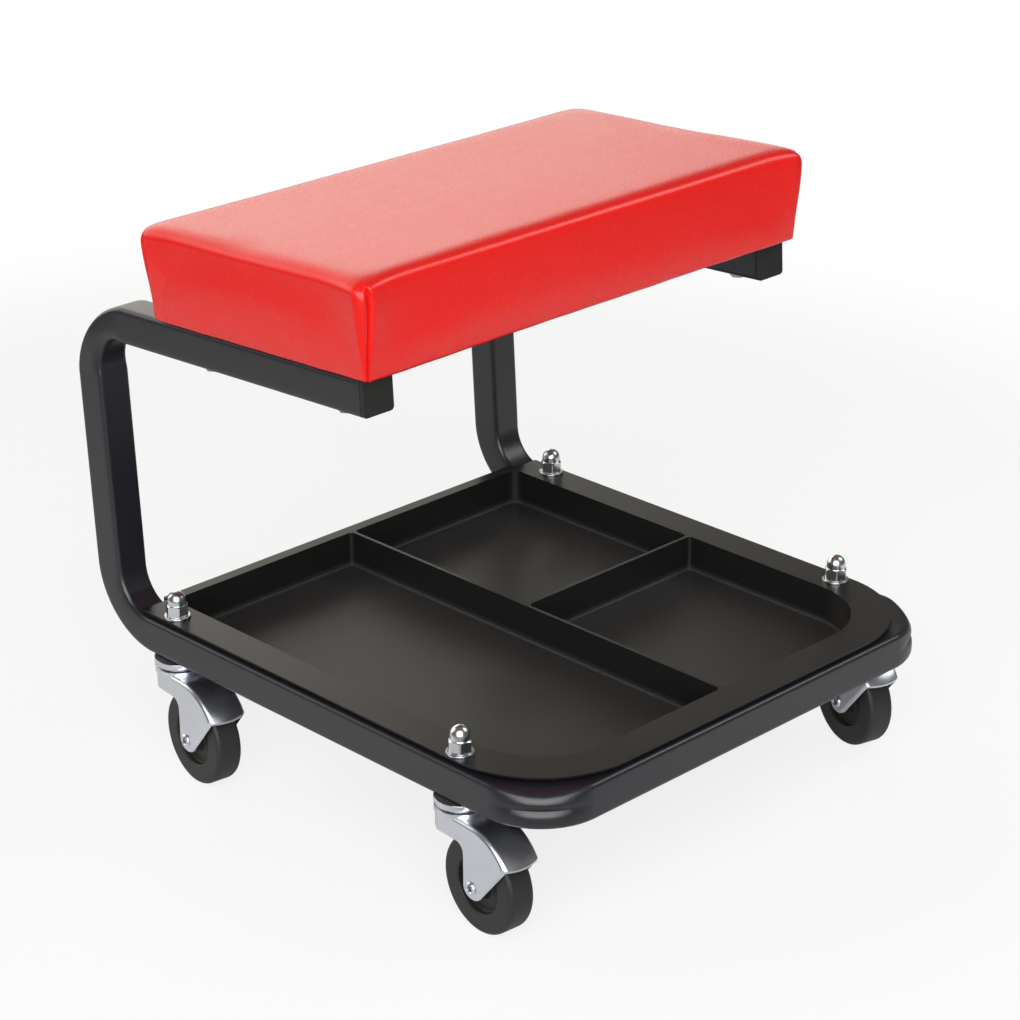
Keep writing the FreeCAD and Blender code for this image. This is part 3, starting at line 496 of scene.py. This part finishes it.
def rolled_rivet(corner):
    """The axle: a shank between the cheeks, with a hollow head rolled over at each end."""
    bm = bmesh.new()
    head = ((-0.0035, 0.0), (-0.0035, RIVET_HOLLOW), (0.0012, RIVET_HOLLOW + 0.0003),
            (0.0018, RIVET_HOLLOW + 0.001), (0.0016, RIVET_HEAD - 0.0009), (0.0009, RIVET_HEAD - 0.0002),
            (0.0002, RIVET_HEAD), (0, RIVET_SHANK))
    half_line = [(FORK_HALF + out, radius) for out, radius in head]
    line = [bm.verts.new((x, 0, r)) for x, r in half_line + [(-x, r) for x, r in reversed(half_line)]]
    edges = [bm.edges.new(pair) for pair in zip(line, line[1:])]
    bmesh.ops.spin(bm, geom=line + edges, cent=(0, 0, 0), axis=(1, 0, 0), angle=2 * math.pi, steps=40,
                   use_merge=True)
    bmesh.ops.remove_doubles(bm, verts=bm.verts, dist=TOUCHING)
    hub = caster_place(corner) @ Matrix.Translation((0, -TRAIL, AXLE_HEIGHT))
    bmesh.ops.transform(bm, matrix=hub, verts=bm.verts)
    return bm


def plated(name, colour, rough, brushed):
    paint = Paint(name, Metallic=1.0)
    cloud = paint.noise(55, 3)
    fine = paint.noise(1500, 2)
    tone = paint.blend(cloud, [c * 0.93 for c in colour] + [1], list(colour) + [1])
    normal = paint.bump(fine, brushed, 0.5)
    return paint.wear(Base_Color=tone, Roughness=rough + cloud * 0.06 + fine * 0.04, Normal=normal)


def wheel_rubber():
    paint = Paint("wheel_black", Specular_IOR_Level=0.45, IOR=1.5)
    cloud = paint.noise(40, 3)
    grain = paint.noise(1600, 2)
    return paint.wear(Base_Color=paint.blend(cloud, TYRE_DARK, TYRE_LIGHT), Roughness=0.46 + grain * 0.1,
                      Normal=paint.bump(grain, 0.00006, 0.6))


fork_zinc = plated("bright_zinc", (0.78, 0.81, 0.88), 0.24, 0.00002)
race_chrome = plated("race_chrome", (0.76, 0.78, 0.82), 0.2, 0.00001)
ball_steel = plated("ball_steel", (0.6, 0.6, 0.6), 0.14, 0.00001)
wheel_black = wheel_rubber()
for corner in ("front_left", "front_right", "rear_left", "rear_right"):
    swivel = "swivel_" + corner
    roller = "roller_" + corner
    piece("pressed_fork_" + corner, lipped_fork(corner), fork_zinc, swivel,
          ["fork_" + corner])
    piece("race_ring_" + corner, eased_copy("upper_race_" + corner, FORK_EASE), race_chrome, "frame",
          ["upper_race_" + corner])
    piece("axle_rivet_" + corner, rolled_rivet(corner), fork_zinc, swivel,
          ["axle_" + corner])
    piece("moulded_wheel_" + corner, eased_copy("wheel_" + corner, WHEEL_EASE), wheel_black, roller,
          ["wheel_" + corner])
    for node, finish in (("stem_", fork_zinc), ("bearing_balls_", ball_steel), ("wheel_bush_", ball_steel)):
        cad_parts[node + corner].data.materials.clear()
        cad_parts[node + corner].data.materials.append(finish)


# Acorn nuts. A bright plated nut with a domed cap and a washer clamp the rim on each stem. The hexagon is
# turned to a cone at both ends, which leaves an arc on each flat.

NUT_FLATS = 0.0143
NUT_HEX_HEIGHT = 0.0086
NUT_HEIGHT = 0.018
NUT_DOME = 0.0067
NUT_CORNER_REACH = NUT_FLATS * 0.56
NUT_FACE_REACH = NUT_FLATS / 2 * 0.97
NUT_CONE = math.tan(math.radians(42))
WASHER_THICKNESS = 0.0016
WASHER_EASE = 0.0003
NUT_TURNS = {"front_left": 17, "front_right": 16, "rear_left": 35, "rear_right": 25}


def hexagon_reach(angle):
    """How far a hexagon with rounded corners reaches from its middle, one flat facing along X."""
    off_flat = (angle + math.pi / 6) % (math.pi / 3) - math.pi / 6
    return min(NUT_FLATS / 2 / math.cos(off_flat), NUT_CORNER_REACH)


def acorn_nut(turn_degrees, x, y):
    """Rings from the washer's face up over the hexagon and the dome, closed at the top and at the foot."""
    bm = bmesh.new()
    bmesh.ops.create_circle(bm, segments=72, radius=NUT_FACE_REACH)
    levels = [(0, None), (NUT_HEX_HEIGHT, None), (NUT_HEX_HEIGHT, NUT_FACE_REACH),
              (NUT_HEX_HEIGHT, NUT_DOME + 0.0002), (NUT_HEX_HEIGHT + 0.0003, NUT_DOME)]
    shoulder = NUT_HEIGHT - NUT_DOME
    levels += [(shoulder + NUT_DOME * math.sin(math.radians(a)), NUT_DOME * math.cos(math.radians(a)))
               for a in range(0, 90, 9)]
    ring = bm.edges[:]
    for height, radius in levels:
        drawn = bmesh.ops.extrude_edge_only(bm, edges=ring)["geom"]
        for vert in verts_of(drawn):
            angle = math.atan2(vert.co.y, vert.co.x)
            reach = radius if radius is not None else hexagon_reach(angle)
            vert.co = Vector((math.cos(angle) * reach, math.sin(angle) * reach, height))
            if radius is None:
                cone = max(0.0, reach - NUT_FACE_REACH) * NUT_CONE
                vert.co.z += -cone if height else cone
        ring = edges_of(drawn)
    bmesh.ops.contextual_create(bm, geom=ring)
    bmesh.ops.contextual_create(bm, geom=[e for e in bm.edges if e.is_boundary])
    foot = Matrix.Translation((x, y, rail_top + TRAY_RIM + WASHER_THICKNESS))
    turned = Matrix.Rotation(math.radians(turn_degrees), 4, "Z")
    bmesh.ops.transform(bm, matrix=foot @ turned, verts=bm.verts)
    return bm


nut_chrome = plated("nut_chrome", (0.74, 0.77, 0.8), 0.2, 0.00001)
nuts = bmesh.new()
for corner, turned in NUT_TURNS.items():
    stem = caster_place(corner).translation
    one = acorn_nut(turned, stem.x, stem.y)
    held = bpy.data.meshes.new("nut")
    one.to_mesh(held)
    one.free()
    nuts.from_mesh(held)
piece("domed_nuts", nuts, nut_chrome, "frame", ["acorn_nuts"], 30)
piece("rim_washers", eased_copy("nut_washers", WASHER_EASE), nut_chrome, "frame",
      ["nut_washers"])


# Seat board and its fixings. The board is plywood, coloured dark. Zinc plated bolts come up through the arms,
# each with a washer under its head, into tee nuts that are driven into the board from above.

PLY = 0.0024
GRAIN_STRETCH = (0.08, 1, 1)
BOLT_EASE = 0.0004
WOOD_DARK = (0.035, 0.025, 0.018, 1)
WOOD_LIGHT = (0.062, 0.046, 0.034, 1)
WOOD_FIBRE = (0.026, 0.018, 0.012, 1)
END_GRAIN = (0.018, 0.012, 0.009, 1)


def plywood():
    """Long grain on the faces, and the plies as bands of long and end grain round the edge."""
    paint = Paint("dark_plywood", Specular_IOR_Level=0.3)
    depth = paint.reach(along)
    facing = paint.reach(along, paint.add("ShaderNodeNewGeometry", {}, {}, "Normal"))
    on_face = paint.step(facing * facing, 0.7, 0.9)
    drawn = paint.add("ShaderNodeVectorMath", {"operation": "MULTIPLY"}, {
        0: paint.place, 1: GRAIN_STRETCH}, "Vector")
    fibres = paint.noise(260, 5, 0.6, drawn)
    rings = paint.noise(38, 3, 0.5, drawn)
    plies = paint.add("ShaderNodeMath", {"operation": "PINGPONG"}, {0: depth, 1: PLY})
    end_grain = paint.step(plies, PLY * 0.45, PLY * 0.55) * (1 - on_face)
    long_grain = paint.blend(fibres * 0.5, paint.blend(rings, WOOD_DARK, WOOD_LIGHT), WOOD_FIBRE)
    return paint.wear(Base_Color=paint.blend(end_grain * 0.75, long_grain, END_GRAIN),
                      Roughness=0.62 + fibres * 0.2, Normal=paint.bump(fibres, 0.00025, 0.6))


board_wood = plywood()
bolt_zinc = plated("bolt_zinc", (0.56, 0.56, 0.52), 0.34, 0.00004)
piece("hex_bolts", eased_copy("seat_bolts", BOLT_EASE), bolt_zinc, "frame", ["seat_bolts"])
for node, finish in (("seat_board", board_wood), ("seat_bolt_washers", bolt_zinc),
                     ("seat_tee_nuts", bolt_zinc), ("cover_staples", bolt_zinc)):
    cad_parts[node].data.materials.clear()
    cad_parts[node].data.materials.append(finish)


# Seat cushion. A block of foam lies on the board, and a cover of red vinyl is pulled down over both. The
# cover is folded into a pleat at each corner, turned in under the board and stapled there.

SEAT_WIDTH = 0.4109
CUSHION_BOTTOM = 0.0003
CUSHION_THICKNESS = 0.0675
CUSHION_CORNER = 0.007
VINYL = 0.0012
HEM = 0.037
BOARD_TOP = 0.0138
BLOCK_SLACK = 0.0014
BLOCK_SKIRT = 0.006
BLOCK_EDGE = 0.0028
CLOTH_GRID = 0.006
STAPLED_BELOW = 0.004
SWELL_FRAMES = 20
LIFT_EVENINGS = 8
CROWN = 0.0014
EDGE_DROP = 0.0005
EDGE_FILL = 0.0012
CORNER_POINT = 0.0037
CORNER_DROP = 0.0009
CORNER_SPREAD = 0.022
CORNER_FULL_AT = 0.058
FOLD = 0.0026
PLEAT_SWING = 0.0125
PLEAT_RETURN = 0.0006
PLEAT_REACH = 0.016
PLEAT_FINER_WITHIN = (0.013, 0.011, 0.0032)
GROOVE_DEPTH = 0.0042
GROOVE_SPREAD = 0.0018
ROLL_HEIGHT = 0.0003
LIP_HEIGHT = 0.0003
LIP_OFF_GROOVE = 0.0021
LIP_SPREAD = 0.0015
TUCK_DEPTH = 0.0005
TUCK_OFF_GROOVE = -0.0011
TUCK_SPREAD = 0.0008
HELD_IN = 0.0032
HELD_FROM = 0.1
HELD_CURVE = 2.1
FRONT_BOW = 0.0022
END_BOW = 0.0006
STAPLE_PITCH = 0.038
PUCKER = 0.0002
LOOSENESS = 0.0009
FOAM_CLEARANCE = 0.005
HEM_WANDER = 0.0007
HEM_RINGS = ((0.008, 0.35), (0.035, 0.75), (0.1, 1), (0.2, 1), (0.4, 1), (0.6, 1), (0.8, 1), (1, 1))
VINYL_DARK = (0.78, 0.0125, 0.0105, 1)
VINYL_LIGHT = (0.84, 0.0155, 0.0125, 1)
FOAM_DARK = (0.62, 0.52, 0.26, 1)
FOAM_LIGHT = (0.78, 0.7, 0.42, 1)

seat_half = Vector((SEAT_WIDTH / 2, SEAT_DEPTH / 2))


def foam_block():
    """The cushion before it swells: a little small, with its edges rounded."""
    bm = bmesh.new()
    bmesh.ops.create_cube(bm, size=1)
    tall = CUSHION_THICKNESS - CROWN - EDGE_DROP + BLOCK_SKIRT
    block = Vector((SEAT_WIDTH - 2 * BLOCK_SLACK, SEAT_DEPTH - 2 * BLOCK_SLACK, tall))
    bmesh.ops.scale(bm, vec=block, verts=bm.verts)
    bmesh.ops.translate(bm, vec=(0, 0, CUSHION_BOTTOM - BLOCK_SKIRT + tall / 2), verts=bm.verts)
    upright = [e for e in bm.edges if abs(e.verts[0].co.z - e.verts[1].co.z) > BOARD_TOP]
    bmesh.ops.bevel(bm, geom=upright, offset=CUSHION_CORNER - BLOCK_SLACK, affect="EDGES", segments=5,
                    profile=0.5, material=-1)
    upper = [e for e in bm.edges if all(v.co.z > BOARD_TOP for v in e.verts) and e.calc_face_angle() > 1]
    bmesh.ops.bevel(bm, geom=upper, offset=BLOCK_EDGE, affect="EDGES", segments=3, profile=0.5, material=-1)
    return bm


def applied(holder):
    """The mesh of an object with its modifiers applied."""
    return bpy.data.meshes.new_from_object(holder.evaluated_get(bpy.context.evaluated_depsgraph_get()))


def evened(lift, edges):
    """Each point's lift, halfway to the mean of its neighbours'."""
    total = [0.0] * len(lift)
    count = [0] * len(lift)
    for edge in edges:
        first, second = edge.vertices
        total[first] += lift[second]
        total[second] += lift[first]
        count[first] += 1
        count[second] += 1
    return [(own + around / met) / 2 for own, around, met in zip(lift, total, count)]


def swollen_cushion():
    """The block blown up as cloth, held where it is stapled, with no point moving further than the crown."""
    mesh = bpy.data.meshes.new("block")
    block = foam_block()
    block.to_mesh(mesh)
    block.free()
    holder = bpy.data.objects.new("block", mesh)
    bpy.context.scene.collection.objects.link(holder)
    even = holder.modifiers.new("even", "REMESH")
    even.mode = "VOXEL"
    even.voxel_size = CLOTH_GRID
    holder.data = applied(holder)
    holder.modifiers.clear()
    rest = [(v.co.copy(), v.normal.copy()) for v in holder.data.vertices]
    held = holder.vertex_groups.new(name="held")
    held.add([v.index for v in holder.data.vertices if v.co.z < STAPLED_BELOW], 1.0, "REPLACE")
    cloth = holder.modifiers.new("swell", "CLOTH")
    cloth.settings.quality = 6
    cloth.settings.tension_stiffness = 15
    cloth.settings.compression_stiffness = 15
    cloth.settings.bending_stiffness = 2
    cloth.settings.use_pressure = True
    cloth.settings.uniform_pressure_force = 4
    cloth.settings.effector_weights.gravity = 0
    cloth.settings.vertex_group_mass = "held"
    for moment in range(1, SWELL_FRAMES + 1):
        bpy.context.scene.frame_set(moment)
    holder.data = applied(holder)
    holder.modifiers.clear()
    bpy.context.scene.frame_set(1)
    swollen = holder.data.vertices
    lift = [max(0.0, (vert.co - before).dot(out)) for vert, (before, out) in zip(swollen, rest)]
    for _ in range(LIFT_EVENINGS):
        lift = evened(lift, holder.data.edges)
    for vert, rise, (before, out) in zip(swollen, lift, rest):
        vert.co = before + out * (CROWN * math.tanh(rise / CROWN))
    finer = holder.modifiers.new("finer", "SUBSURF")
    finer.levels = 1
    finer.render_levels = 1
    bm = bmesh.new()
    bm.from_mesh(applied(holder))
    bpy.data.objects.remove(holder)
    bm.normal_update()
    for vert in bm.verts:
        rise = max(0.0, vert.normal.z)
        top_edge = (2 * rise * math.sqrt(1 - min(1.0, rise * rise))) ** 2
        upright_edge = (2 * vert.normal.x * vert.normal.y) ** 2
        vert.co += vert.normal * EDGE_FILL * max(top_edge, upright_edge)
        away = Vector((seat_half.x - abs(vert.co.x), seat_half.y - abs(vert.co.y)))
        corner = bell(away.length, 0, CORNER_SPREAD) * ramp(vert.co.z, 0.0, CORNER_FULL_AT)
        vert.co.x += math.copysign(CORNER_POINT * corner, vert.co.x)
        vert.co.y += math.copysign(CORNER_POINT * corner, vert.co.y)
        vert.co.z -= CORNER_DROP * corner
    return bm


def round_corner(place):
    """The way round the nearest upright corner, from the face whose vinyl rolls over to the one with the lip.

    Gives the distance past the start of the rounding, and the way out and the way along there.
    """
    signs = Vector((math.copysign(1, place.x), math.copysign(1, place.y)))
    inside = seat_half - Vector((abs(place.x), abs(place.y)))
    on_end = signs.x == signs.y
    roll_out = Vector((signs.x, 0, 0)) if on_end else Vector((0, signs.y, 0))
    lip_out = Vector((0, signs.y, 0)) if on_end else Vector((signs.x, 0, 0))
    from_roll, from_lip = inside if on_end else (inside.y, inside.x)
    if from_lip >= CUSHION_CORNER:
        return CUSHION_CORNER - from_lip, roll_out, lip_out
    if from_roll >= CUSHION_CORNER:
        return CUSHION_CORNER * (math.pi / 2 - 1) + from_roll, lip_out, -roll_out
    turn = math.atan2(CUSHION_CORNER - from_lip, CUSHION_CORNER - from_roll)
    out = roll_out * math.cos(turn) + lip_out * math.sin(turn)
    return CUSHION_CORNER * turn, out, lip_out * math.cos(turn) - roll_out * math.sin(turn)


def lowness(place):
    """0 at the cushion's top and 1 at its bottom."""
    return 1 - max(0.0, min(1.0, (place.z - CUSHION_BOTTOM) / CUSHION_THICKNESS))


def pleat_line(low):
    """Where the pleat's groove runs: from the corner's top out over the lip's face, and back."""
    swing = PLEAT_SWING * math.sqrt(low) * (1 - low)
    return CUSHION_CORNER * math.pi / 4 + swing - PLEAT_RETURN * low


def fold_pleat(vert):
    """The roll of spare vinyl at a corner, the groove that it is tucked into and the lip beyond it."""
    low = lowness(vert.co)
    past, out, onward = round_corner(vert.co)
    width = pleat_line(low)
    aside = past - width
    if abs(aside) > PLEAT_REACH:
        return
    grown = ramp(low, 0.03, 0.12)
    across = (aside + width / 2) / (width / 2)
    half_turn = width / 2 / CUSHION_CORNER
    chord = CUSHION_CORNER * (1 - math.cos(half_turn) / math.cos(across * half_turn))
    flat = chord if abs(across) < 1 else 0.0
    roll = ROLL_HEIGHT * max(0.0, 1 - across * across)
    groove = GROOVE_DEPTH * bell(aside, 0, GROOVE_SPREAD) * (1 - 0.4 * ramp(low, 0.95, 1.0))
    lip = LIP_HEIGHT * bell(aside, LIP_OFF_GROOVE, LIP_SPREAD)
    tuck = TUCK_DEPTH * bell(aside, TUCK_OFF_GROOVE, TUCK_SPREAD)
    vert.co += (out * (roll + lip - groove) + onward * tuck) * grown - out * flat * ramp(low, 0.0, 0.08)


def draw_under(vert):
    """The sides are drawn in towards the bottom, most of all at the staples, with soft puckers above them."""
    low = lowness(vert.co)
    _, out, _ = round_corner(vert.co)
    along_axis = 0 if abs(out.y) > abs(out.x) else 1
    along_side = vert.co[along_axis]
    on_side = ramp(min(seat_half.x - abs(vert.co.x), seat_half.y - abs(vert.co.y)), 0.012, 0.004)
    middle = 1 - (along_side / seat_half[along_axis]) ** 2
    bowed = middle * (FRONT_BOW * out.y**2 + END_BOW * out.x**2)
    held_in = (HELD_IN + bowed) * (1 - ramp(vert.co.y, 0.0, seat_half.y) * out.y**2)
    pulled = held_in * max(0.0, (low - HELD_FROM) / (1 - HELD_FROM)) ** HELD_CURVE
    pucker = math.cos(2 * math.pi * along_side / STAPLE_PITCH) * PUCKER * ramp(low, 0.75, 1.0)
    loose = noise.noise(Vector((vert.co.x * 11, vert.co.y * 11, 4 + vert.co.z * 9)))
    vert.co -= out * (pulled + pucker + loose * LOOSENESS * ramp(low, 0.3, 0.85)) * on_side


def near_pleat(place, reach):
    past, _, _ = round_corner(place)
    return abs(past - pleat_line(lowness(place))) < reach


cover = swollen_cushion()
foam = cover.copy()

# The foam is the same form inside the vinyl, cut off flat on the board.
for vert in foam.verts:
    vert.co -= vert.normal * (VINYL + FOAM_CLEARANCE)
for vert in foam.verts:
    draw_under(vert)
bmesh.ops.bisect_plane(foam, geom=whole(foam), dist=TOUCHING,
                       plane_co=(0, 0, BOARD_TOP + CUSHION_BOTTOM), plane_no=(0, 0, -1), clear_outer=True)
bmesh.ops.contextual_create(foam, geom=[e for e in foam.edges if e.is_boundary])
bmesh.ops.transform(foam, matrix=seat_place, verts=foam.verts)

bmesh.ops.bisect_plane(cover, geom=whole(cover), dist=TOUCHING,
                       plane_co=(0, 0, CUSHION_BOTTOM + FOLD), plane_no=(0, 0, -1), clear_outer=True)
for reach in PLEAT_FINER_WITHIN:
    near = [e for e in cover.edges if all(near_pleat(v.co, reach) for v in e.verts)]
    bmesh.ops.subdivide_edges(cover, edges=near, cuts=1, use_grid_fill=True)
    near_verts = [v for v in cover.verts if near_pleat(v.co, reach) and not v.is_boundary]
    for _ in range(2):
        bmesh.ops.smooth_vert(cover, verts=near_verts, factor=0.5,
                              use_axis_x=True, use_axis_y=True, use_axis_z=True)
for vert in cover.verts:
    draw_under(vert)
for vert in cover.verts:
    fold_pleat(vert)

# The hem turns in under the board in rings, each a share of the way in and a share of the fold's drop. Its
# cut edge wanders a little.
hem_edge = seat_half - Vector((HEM, HEM))
hem_ring = [e for e in cover.edges if e.is_boundary]
gone = 0.0
for share, drop in HEM_RINGS:
    turned = bmesh.ops.extrude_edge_only(cover, edges=hem_ring)["geom"]
    hem_ring = [e for e in edges_of(turned) if e.is_boundary]
    for vert in {v for e in hem_ring for v in e.verts}:
        wander = HEM_WANDER * noise.noise(vert.co * 45) * share
        aim = Vector([max(-edge, min(edge, at)) for edge, at in zip(hem_edge, vert.co.xy)])
        vert.co.xy += (aim - vert.co.xy) * (share - gone) / (1 - gone) * (1 + wander / HEM)
        vert.co.z = CUSHION_BOTTOM + FOLD * (1 - drop)
    gone = share
bmesh.ops.remove_doubles(cover, verts=cover.verts, dist=1e-5)
bmesh.ops.transform(cover, matrix=seat_place, verts=cover.verts)


def red_vinyl_finish():
    paint = Paint("red_vinyl", Specular_IOR_Level=0.5, IOR=1.5)
    cloud = paint.noise(11, 3)
    cells = paint.add("ShaderNodeTexVoronoi", {"feature": "DISTANCE_TO_EDGE"}, {
        "Vector": paint.place, "Scale": 950.0}, "Distance")
    grain = paint.step(cells, 0.0, 0.12)
    soft = paint.noise(240, 3)
    rough = 0.27 + cloud * 0.05 - grain * 0.03
    normal = paint.bump(grain, 0.00003, 0.5, paint.bump(soft, 0.00006, 0.35))
    return paint.wear(Base_Color=paint.blend(cloud, VINYL_DARK, VINYL_LIGHT), Roughness=rough, Normal=normal)


def foam_finish():
    paint = Paint("cushion_foam", Roughness=0.95, Specular_IOR_Level=0.2)
    cells = paint.add("ShaderNodeTexVoronoi", {}, {"Vector": paint.place, "Scale": 700.0}, "Distance")
    return paint.wear(Base_Color=paint.blend(cells, FOAM_DARK, FOAM_LIGHT),
                      Normal=paint.bump(cells, 0.0004, 0.8))


red_vinyl = red_vinyl_finish()
vinyl_cover = piece("vinyl_cover", cover, red_vinyl, "frame", ["seat_cover"], 180)
thickness = vinyl_cover.modifiers.new("vinyl", "SOLIDIFY")
thickness.thickness = VINYL
thickness.offset = -1
foam_pad = piece("foam_pad", foam, foam_finish(), "frame", ["seat_foam"], 60)


# Studio. A pale table with a white wall low behind it, three soft lamps, and the camera at the photograph's
# angle. To the camera the table is nearly white and keeps the seat's shadow, and its far end is darker in
# reflections.

TABLE_MIDDLE = (0.1, 0.3, 0)
TABLE_LOW = (0.84, 0.84, 0.84, 1)
TABLE_HIGH = (0.86, 0.86, 0.86, 1)
TABLE_END = (0.2, 0.2, 0.2, 1)
WHITE = (1, 1, 1, 1)
WALL_WHITE = (1, 0.955, 0.86, 1)
WALL_WAY = (0.69, 0.724, 0)
WALL_TOP = (0.9, -0.6, 1)
WALL_GLOW = 1.8
ROOM_GLOW = 0.12
CAMERA_WAY = (-0.69, -0.724, 0)
CAMERA_LENS = 103.894
CAMERA_PLACE = Vector((-1.31655, -1.35172, 0.99300))
CAMERA_RIGHT = Vector((0.714547, -0.699547, -0.007513))
CAMERA_UP = Vector((0.280673, 0.276821, 0.919017))
CAMERA_FORWARD = Vector((0.640816, 0.658790, -0.394146))


def area_lamp(name, place, target, width, height, power):
    lamp = bpy.data.lights.new(name, "AREA")
    lamp.shape = "RECTANGLE"
    lamp.size = width
    lamp.size_y = height
    lamp.energy = power
    made = bpy.data.objects.new(name, lamp)
    made.location = place
    made.rotation_euler = (Vector(target) - made.location).to_track_quat("-Z", "Y").to_euler()
    bpy.context.scene.collection.objects.link(made)


class Backdrop(Paint):
    """The world's nodes, written the way a material's are."""

    def __init__(self):
        world = bpy.data.worlds.new("studio")
        bpy.context.scene.world = world
        world.use_nodes = True
        self.tree = world.node_tree
        self.shader = self.tree.nodes["Background"]
        self.place = self.add("ShaderNodeTexCoord", {}, {}, "Generated")


floor_paint = Paint("pale_floor", Roughness=0.9, Specular_IOR_Level=0.1)
out_from_middle = floor_paint.add("ShaderNodeVectorMath", {"operation": "DISTANCE"}, {
    0: floor_paint.place, 1: TABLE_MIDDLE}, "Value")
towards_camera = floor_paint.reach(CAMERA_WAY)
to_camera = floor_paint.add("ShaderNodeLightPath", {}, {}, "Is Camera Ray")
on_table = 1 - floor_paint.step(out_from_middle, 1.05, 1.25)
on_table = on_table * (1 - floor_paint.step(towards_camera, 0.2, 0.6))
table_end = (1 - on_table) * (1 - to_camera)
table_tone = floor_paint.blend(floor_paint.noise(3, 2), TABLE_LOW, TABLE_HIGH)
floor_material = floor_paint.wear(Base_Color=floor_paint.blend(table_end, table_tone, TABLE_END))
white = floor_paint.add("ShaderNodeEmission", {}, {"Color": WHITE, "Strength": 1.0}, "Emission")
lit = Wire(floor_paint, floor_paint.shader.outputs["BSDF"])
whitened = to_camera * (0.82 + 0.18 * floor_paint.step(out_from_middle, 0.6, 1.0))
seen = floor_paint.add("ShaderNodeMixShader", {}, {0: whitened, 1: lit, 2: white}, "Shader")
floor_paint.feed(floor_paint.tree.nodes["Material Output"].inputs["Surface"], seen)
floor_mesh = bmesh.new()
bmesh.ops.create_grid(floor_mesh, x_segments=1, y_segments=1, size=12)
floor_data = bpy.data.meshes.new("floor")
floor_mesh.to_mesh(floor_data)
floor_mesh.free()
floor_data.materials.append(floor_material)
floor = bpy.data.objects.new("floor", floor_data)
bpy.context.scene.collection.objects.link(floor)

area_lamp("key", (-1.83, -1.79, 1.55), target=(0, 0, 0.2), width=3.0, height=2.6, power=107)
area_lamp("left_softbox", (-0.99, 1.42, 1.15), target=(0, 0, 0.3), width=0.9, height=0.9, power=2.2)
area_lamp("right_softbox", (1.29, -0.78, 1.5), target=(0, 0, 0.3), width=0.9, height=0.9, power=8)

backdrop = Backdrop()
behind = backdrop.step(backdrop.reach(WALL_WAY), 0.1, 0.5)
below_top = 1 - backdrop.step(backdrop.reach(WALL_TOP), 0.44, 0.58)
below_sky = 1 - backdrop.step(backdrop.height(), 0.5, 0.8)
glow = ROOM_GLOW + behind * below_top * below_sky * WALL_GLOW
camera_ray = backdrop.add("ShaderNodeLightPath", {}, {}, "Is Camera Ray")
backdrop.feed(backdrop.shader.inputs["Color"], backdrop.blend(camera_ray, WALL_WHITE, WHITE))
backdrop.feed(backdrop.shader.inputs["Strength"], camera_ray + (1 - camera_ray) * glow)

camera_data = bpy.data.cameras.new("camera")
camera_data.lens = CAMERA_LENS
camera_data.sensor_width = 36
camera = bpy.data.objects.new("camera", camera_data)
camera_turn = Matrix((CAMERA_RIGHT, CAMERA_UP, -CAMERA_FORWARD)).transposed().to_4x4()
camera.matrix_world = Matrix.Translation(CAMERA_PLACE) @ camera_turn
bpy.context.scene.collection.objects.link(camera)
bpy.context.scene.camera = camera
bpy.context.scene.view_settings.view_transform = "Standard"
